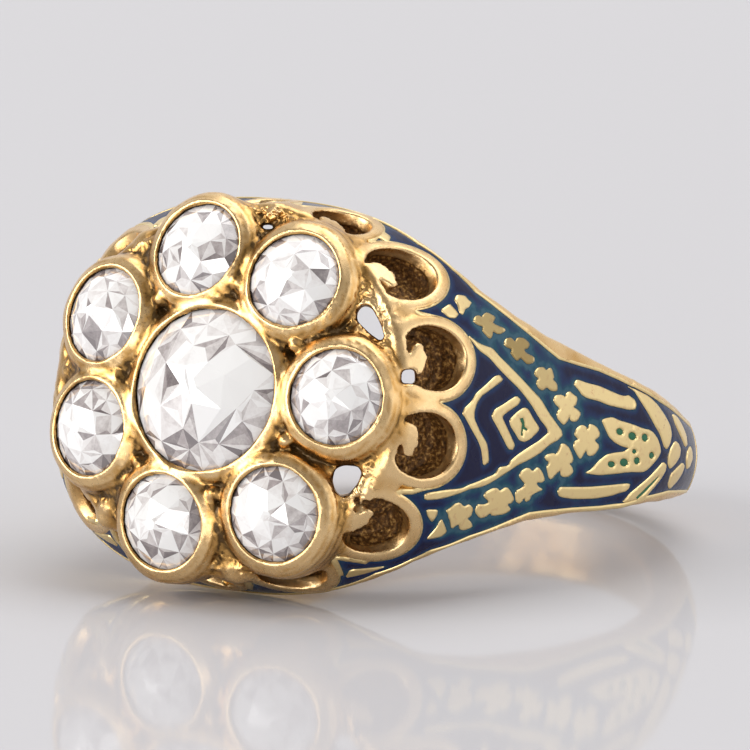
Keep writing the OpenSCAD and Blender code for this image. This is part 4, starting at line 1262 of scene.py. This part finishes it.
def lapped_stone(r, dome, seed, highlight_kite):
    """A rose cut's triangular facets over its flat back, and how light each facet is painted, as its painted
    reflection, 0 to 1.
    """
    chance = np.random.default_rng(seed)
    spots = []
    for row, (number, share) in enumerate(CORNERS):
        for k in range(number):
            turn = 2 * math.pi * (k + row / 2 + chance.uniform(-0.14, 0.14)) / number
            out = share * (chance.uniform(0.94, 1.06) if 0 < row < 3 else 1)
            spots.append((out * math.cos(turn), out * math.sin(turn)))
    edges = [(len(spots) + k, len(spots) + (k + 1) % len(highlight_kite)) for k in range(len(highlight_kite))]
    flat, _, faces, _, _, _ = delaunay_2d_cdt([Vector(p) for p in spots + highlight_kite], edges, [], 0, 1e-5)
    form = bmesh.new()
    heights = [GIRDLE + dome * (1 - max(p.length, CORNERS[0][1]) ** 2) for p in flat]
    corners = [form.verts.new((p.x * r, p.y * r, z)) for p, z in zip(flat, heights)]
    tones = []
    for face in faces:
        a, b, c = (corners[k] for k in face)
        middle = (a.co + b.co + c.co) / 3
        if highlight_kite and inside(np.array([middle[:2]]) / r, np.array(highlight_kite))[0]:
            form.faces.new((a, b, c))
            tones.append(1.0)
            continue
        tone = chance.uniform(0.15, 0.9)
        # The centre stone's facets on one side are painted darker as painted shade, and an outer stone is painted
        # lighter in its middle
        if highlight_kite:
            tone = 0.1 + 0.7 * tone if middle.y > -0.5 * r else 0.45 * tone
        else:
            tone += 0.4 * (0.5 - middle.xy.length / r)
        # Painted reflections: the far facets show through each near one as splinters in its own plane, each painted its
        # own tone
        share = chance.dirichlet((4, 4, 4))
        inner = form.verts.new(sum((v.co * float(k) for v, k in zip((a, b, c), share)), Vector()))
        for pair in ((a, b), (b, c), (c, a)):
            form.faces.new((*pair, inner))
            tones.append(tone + chance.uniform(-0.3, 0.35))
    girdle = sorted(corners, key=lambda v: -math.hypot(v.co.x, v.co.y))[:CORNERS[-1][0]]
    girdle.sort(key=lambda v: math.atan2(v.co.y, v.co.x))
    back = [form.verts.new((v.co.x, v.co.y, 0)) for v in girdle]
    for k in range(len(girdle)):
        e = (k + 1) % len(girdle)
        form.faces.new((girdle[k], back[k], back[e], girdle[e]))
        tones.append(0.3)
    form.faces.new(back)
    tones.append(0.5)
    bmesh.ops.recalc_face_normals(form, faces=form.faces[:])
    return form, tones


class RING_OT_stones(bpy.types.Operator):
    """Cuts the eight rose-cut stones and sets them over their foils"""

    bl_idname = "ring.stones"
    bl_label = "Rose-cut stones"

    def execute(self, context):
        names = ["centre_stone"] + [f"outer_stone_{k}" for k in range(1, 8)]
        seats = seat_frames(context.scene.ring_sizes)
        for k, (name, (at, axes, r, dome)) in enumerate(zip(names, seats)):
            form, tones = lapped_stone(r, dome, FACET_SEED + k, [] if k else HIGHLIGHT_KITE)
            turn = Matrix(axes.tolist()).to_4x4()
            form.transform(LAID @ Matrix.Translation(Vector(at)) @ turn)
            mesh = bpy.data.meshes.new(f"{name}_cut")
            back = (LAID.to_3x3() @ turn.to_3x3() @ Vector((0, 0, -1))).normalized()
            for face in form.faces:
                face.normal_update()
                face.material_index = 1 if face.normal.dot(back) > 0.95 else 0
            form.to_mesh(mesh)
            form.free()
            # How light each facet is painted: its painted reflection, 0 to 1
            depth = mesh.attributes.new("painted_facet_light", "FLOAT", "FACE")
            depth.data.foreach_set("value", tones)
            mesh.materials.append(material_of("diamond"))
            mesh.materials.append(material_of("foil"))
            piece = bpy.data.objects.new(f"{name}_cut", mesh)
            context.scene.collection.objects.link(piece)
            on_body(piece, "diamond", name)
        return {"FINISHED"}


# Softboxes: name, place, size and power of each
LIGHTS = [
    ("softbox_over", (0.05, 0.2, 0.8), (0.9, 0.6), 3.1),
    ("softbox_left", (-0.62, -0.72, 0.36), (0.9, 0.7), 9.2),
    ("softbox_right", (0.95, 0.1, 0.27), (0.9, 0.7), 1.4),
    ("softbox_low", (0.2, -0.95, 0.12), (0.8, 0.2), 2.4),
]


class RING_OT_stage(bpy.types.Operator):
    """Sets up the pale floor, the soft lights and the camera"""

    bl_idname = "ring.stage"
    bl_label = "Floor, lights and camera"

    # The camera's way round the ring, height over it and distance, and how far the picture's middle is off it
    azimuth, elevation, distance = math.radians(31.6), math.radians(10.1), 0.4
    lens, sensor = 547.6, 36
    left, above = 1.34 * MM, 5.63 * MM
    floor_half = 3.0
    aim = Vector((0, 0, 6 * MM))

    def execute(self, context):
        scene = context.scene
        scene.view_settings.view_transform = "Standard"
        a, e = self.azimuth, self.elevation
        back = Vector((math.sin(a) * math.cos(e), -math.cos(a) * math.cos(e), math.sin(e)))
        right = Vector((math.cos(a), math.sin(a), 0))
        up = back.cross(right)
        camera = bpy.data.cameras.new("camera")
        camera.lens, camera.sensor_width = self.lens, self.sensor
        camera.clip_start, camera.clip_end = 0.01, 20
        eye = bpy.data.objects.new("camera", camera)
        at = Vector((0, FINGER_AT.y, 0)) + back * self.distance - right * self.left + up * self.above
        eye.matrix_world = Matrix.Translation(at) @ Matrix((right, up, back)).transposed().to_4x4()
        scene.collection.objects.link(eye)
        scene.camera = eye

        half = self.floor_half
        floor = bpy.data.meshes.new("acrylic_floor")
        floor.from_pydata([(-half, -half, 0), (half, -half, 0), (half, half, 0), (-half, half, 0)], [], [(0, 1, 2, 3)])
        ground = bpy.data.objects.new("acrylic_floor", floor)
        ground.location.z = -0.02 * MM
        floor.materials.append(material_of("acrylic"))
        scene.collection.objects.link(ground)

        for name, place, size, power in LIGHTS:
            lamp = bpy.data.lights.new(name, "AREA")
            lamp.shape, lamp.size, lamp.size_y = "RECTANGLE", *size
            lamp.energy = power
            lamp.color = (1.0, 0.99, 0.975)
            box = bpy.data.objects.new(name, lamp)
            box.location = place
            box.rotation_euler = (self.aim - Vector(place)).to_track_quat("-Z", "Y").to_euler()
            scene.collection.objects.link(box)
        world = bpy.data.worlds.new("studio")
        scene.world = world
        world.use_nodes = True
        tree = world.node_tree
        tree.nodes.clear()
        # A pale backdrop behind the ring, and the dim side of the room in front of it
        way = node(tree, "ShaderNodeTexCoord", out="Generated")
        front = node(tree, "ShaderNodeVectorMath", {0: way, 1: (-0.3, -0.95, 0.0)}, out=1, operation="DOT_PRODUCT")
        place = node(tree, "ShaderNodeMapRange", {"Value": front, "From Min": -1.0, "From Max": 1.0})
        tones = [(0.35, linear("#f0f0f3")), (0.6, linear("#b3b0ad")), (0.85, linear("#746e68"))]
        tone = node(tree, "ShaderNodeValToRGB", {"Fac": place}, tones)
        glow = node(tree, "ShaderNodeBackground", {"Color": tone, "Strength": 1.0})
        node(tree, "ShaderNodeOutputWorld", {"Surface": glow})
        return {"FINISHED"}


class RING_PT_panel(bpy.types.Panel):
    """Sizes, colours and pieces of the ring"""

    bl_idname = "RING_PT_panel"
    bl_label = "Enamel Diamond Ring"
    bl_space_type = "VIEW_3D"
    bl_region_type = "UI"
    bl_category = "Ring"

    def draw(self, context):
        scene = context.scene
        for group in (scene.ring_sizes, scene.ring_colours):
            for name in group.__annotations__:
                self.layout.prop(group, name)
        for operator in OPERATORS:
            self.layout.operator(operator.bl_idname)


OPERATORS = (RING_OT_stage, RING_OT_mount, RING_OT_shoulders, RING_OT_stones)
CLASSES = (RingSizes, RingColours) + OPERATORS + (RING_PT_panel,)


def register():
    for kind in CLASSES:
        bpy.utils.register_class(kind)
    bpy.types.Scene.ring_sizes = PointerProperty(type=RingSizes)
    bpy.types.Scene.ring_colours = PointerProperty(type=RingColours)


def unregister():
    del bpy.types.Scene.ring_colours
    del bpy.types.Scene.ring_sizes
    for kind in reversed(CLASSES):
        bpy.utils.unregister_class(kind)


def main():
    register()
    bpy.ops.ring.stage()
    bpy.ops.ring.mount()
    bpy.ops.ring.shoulders()
    bpy.ops.ring.stones()


if __name__ == "__main__":
    main()
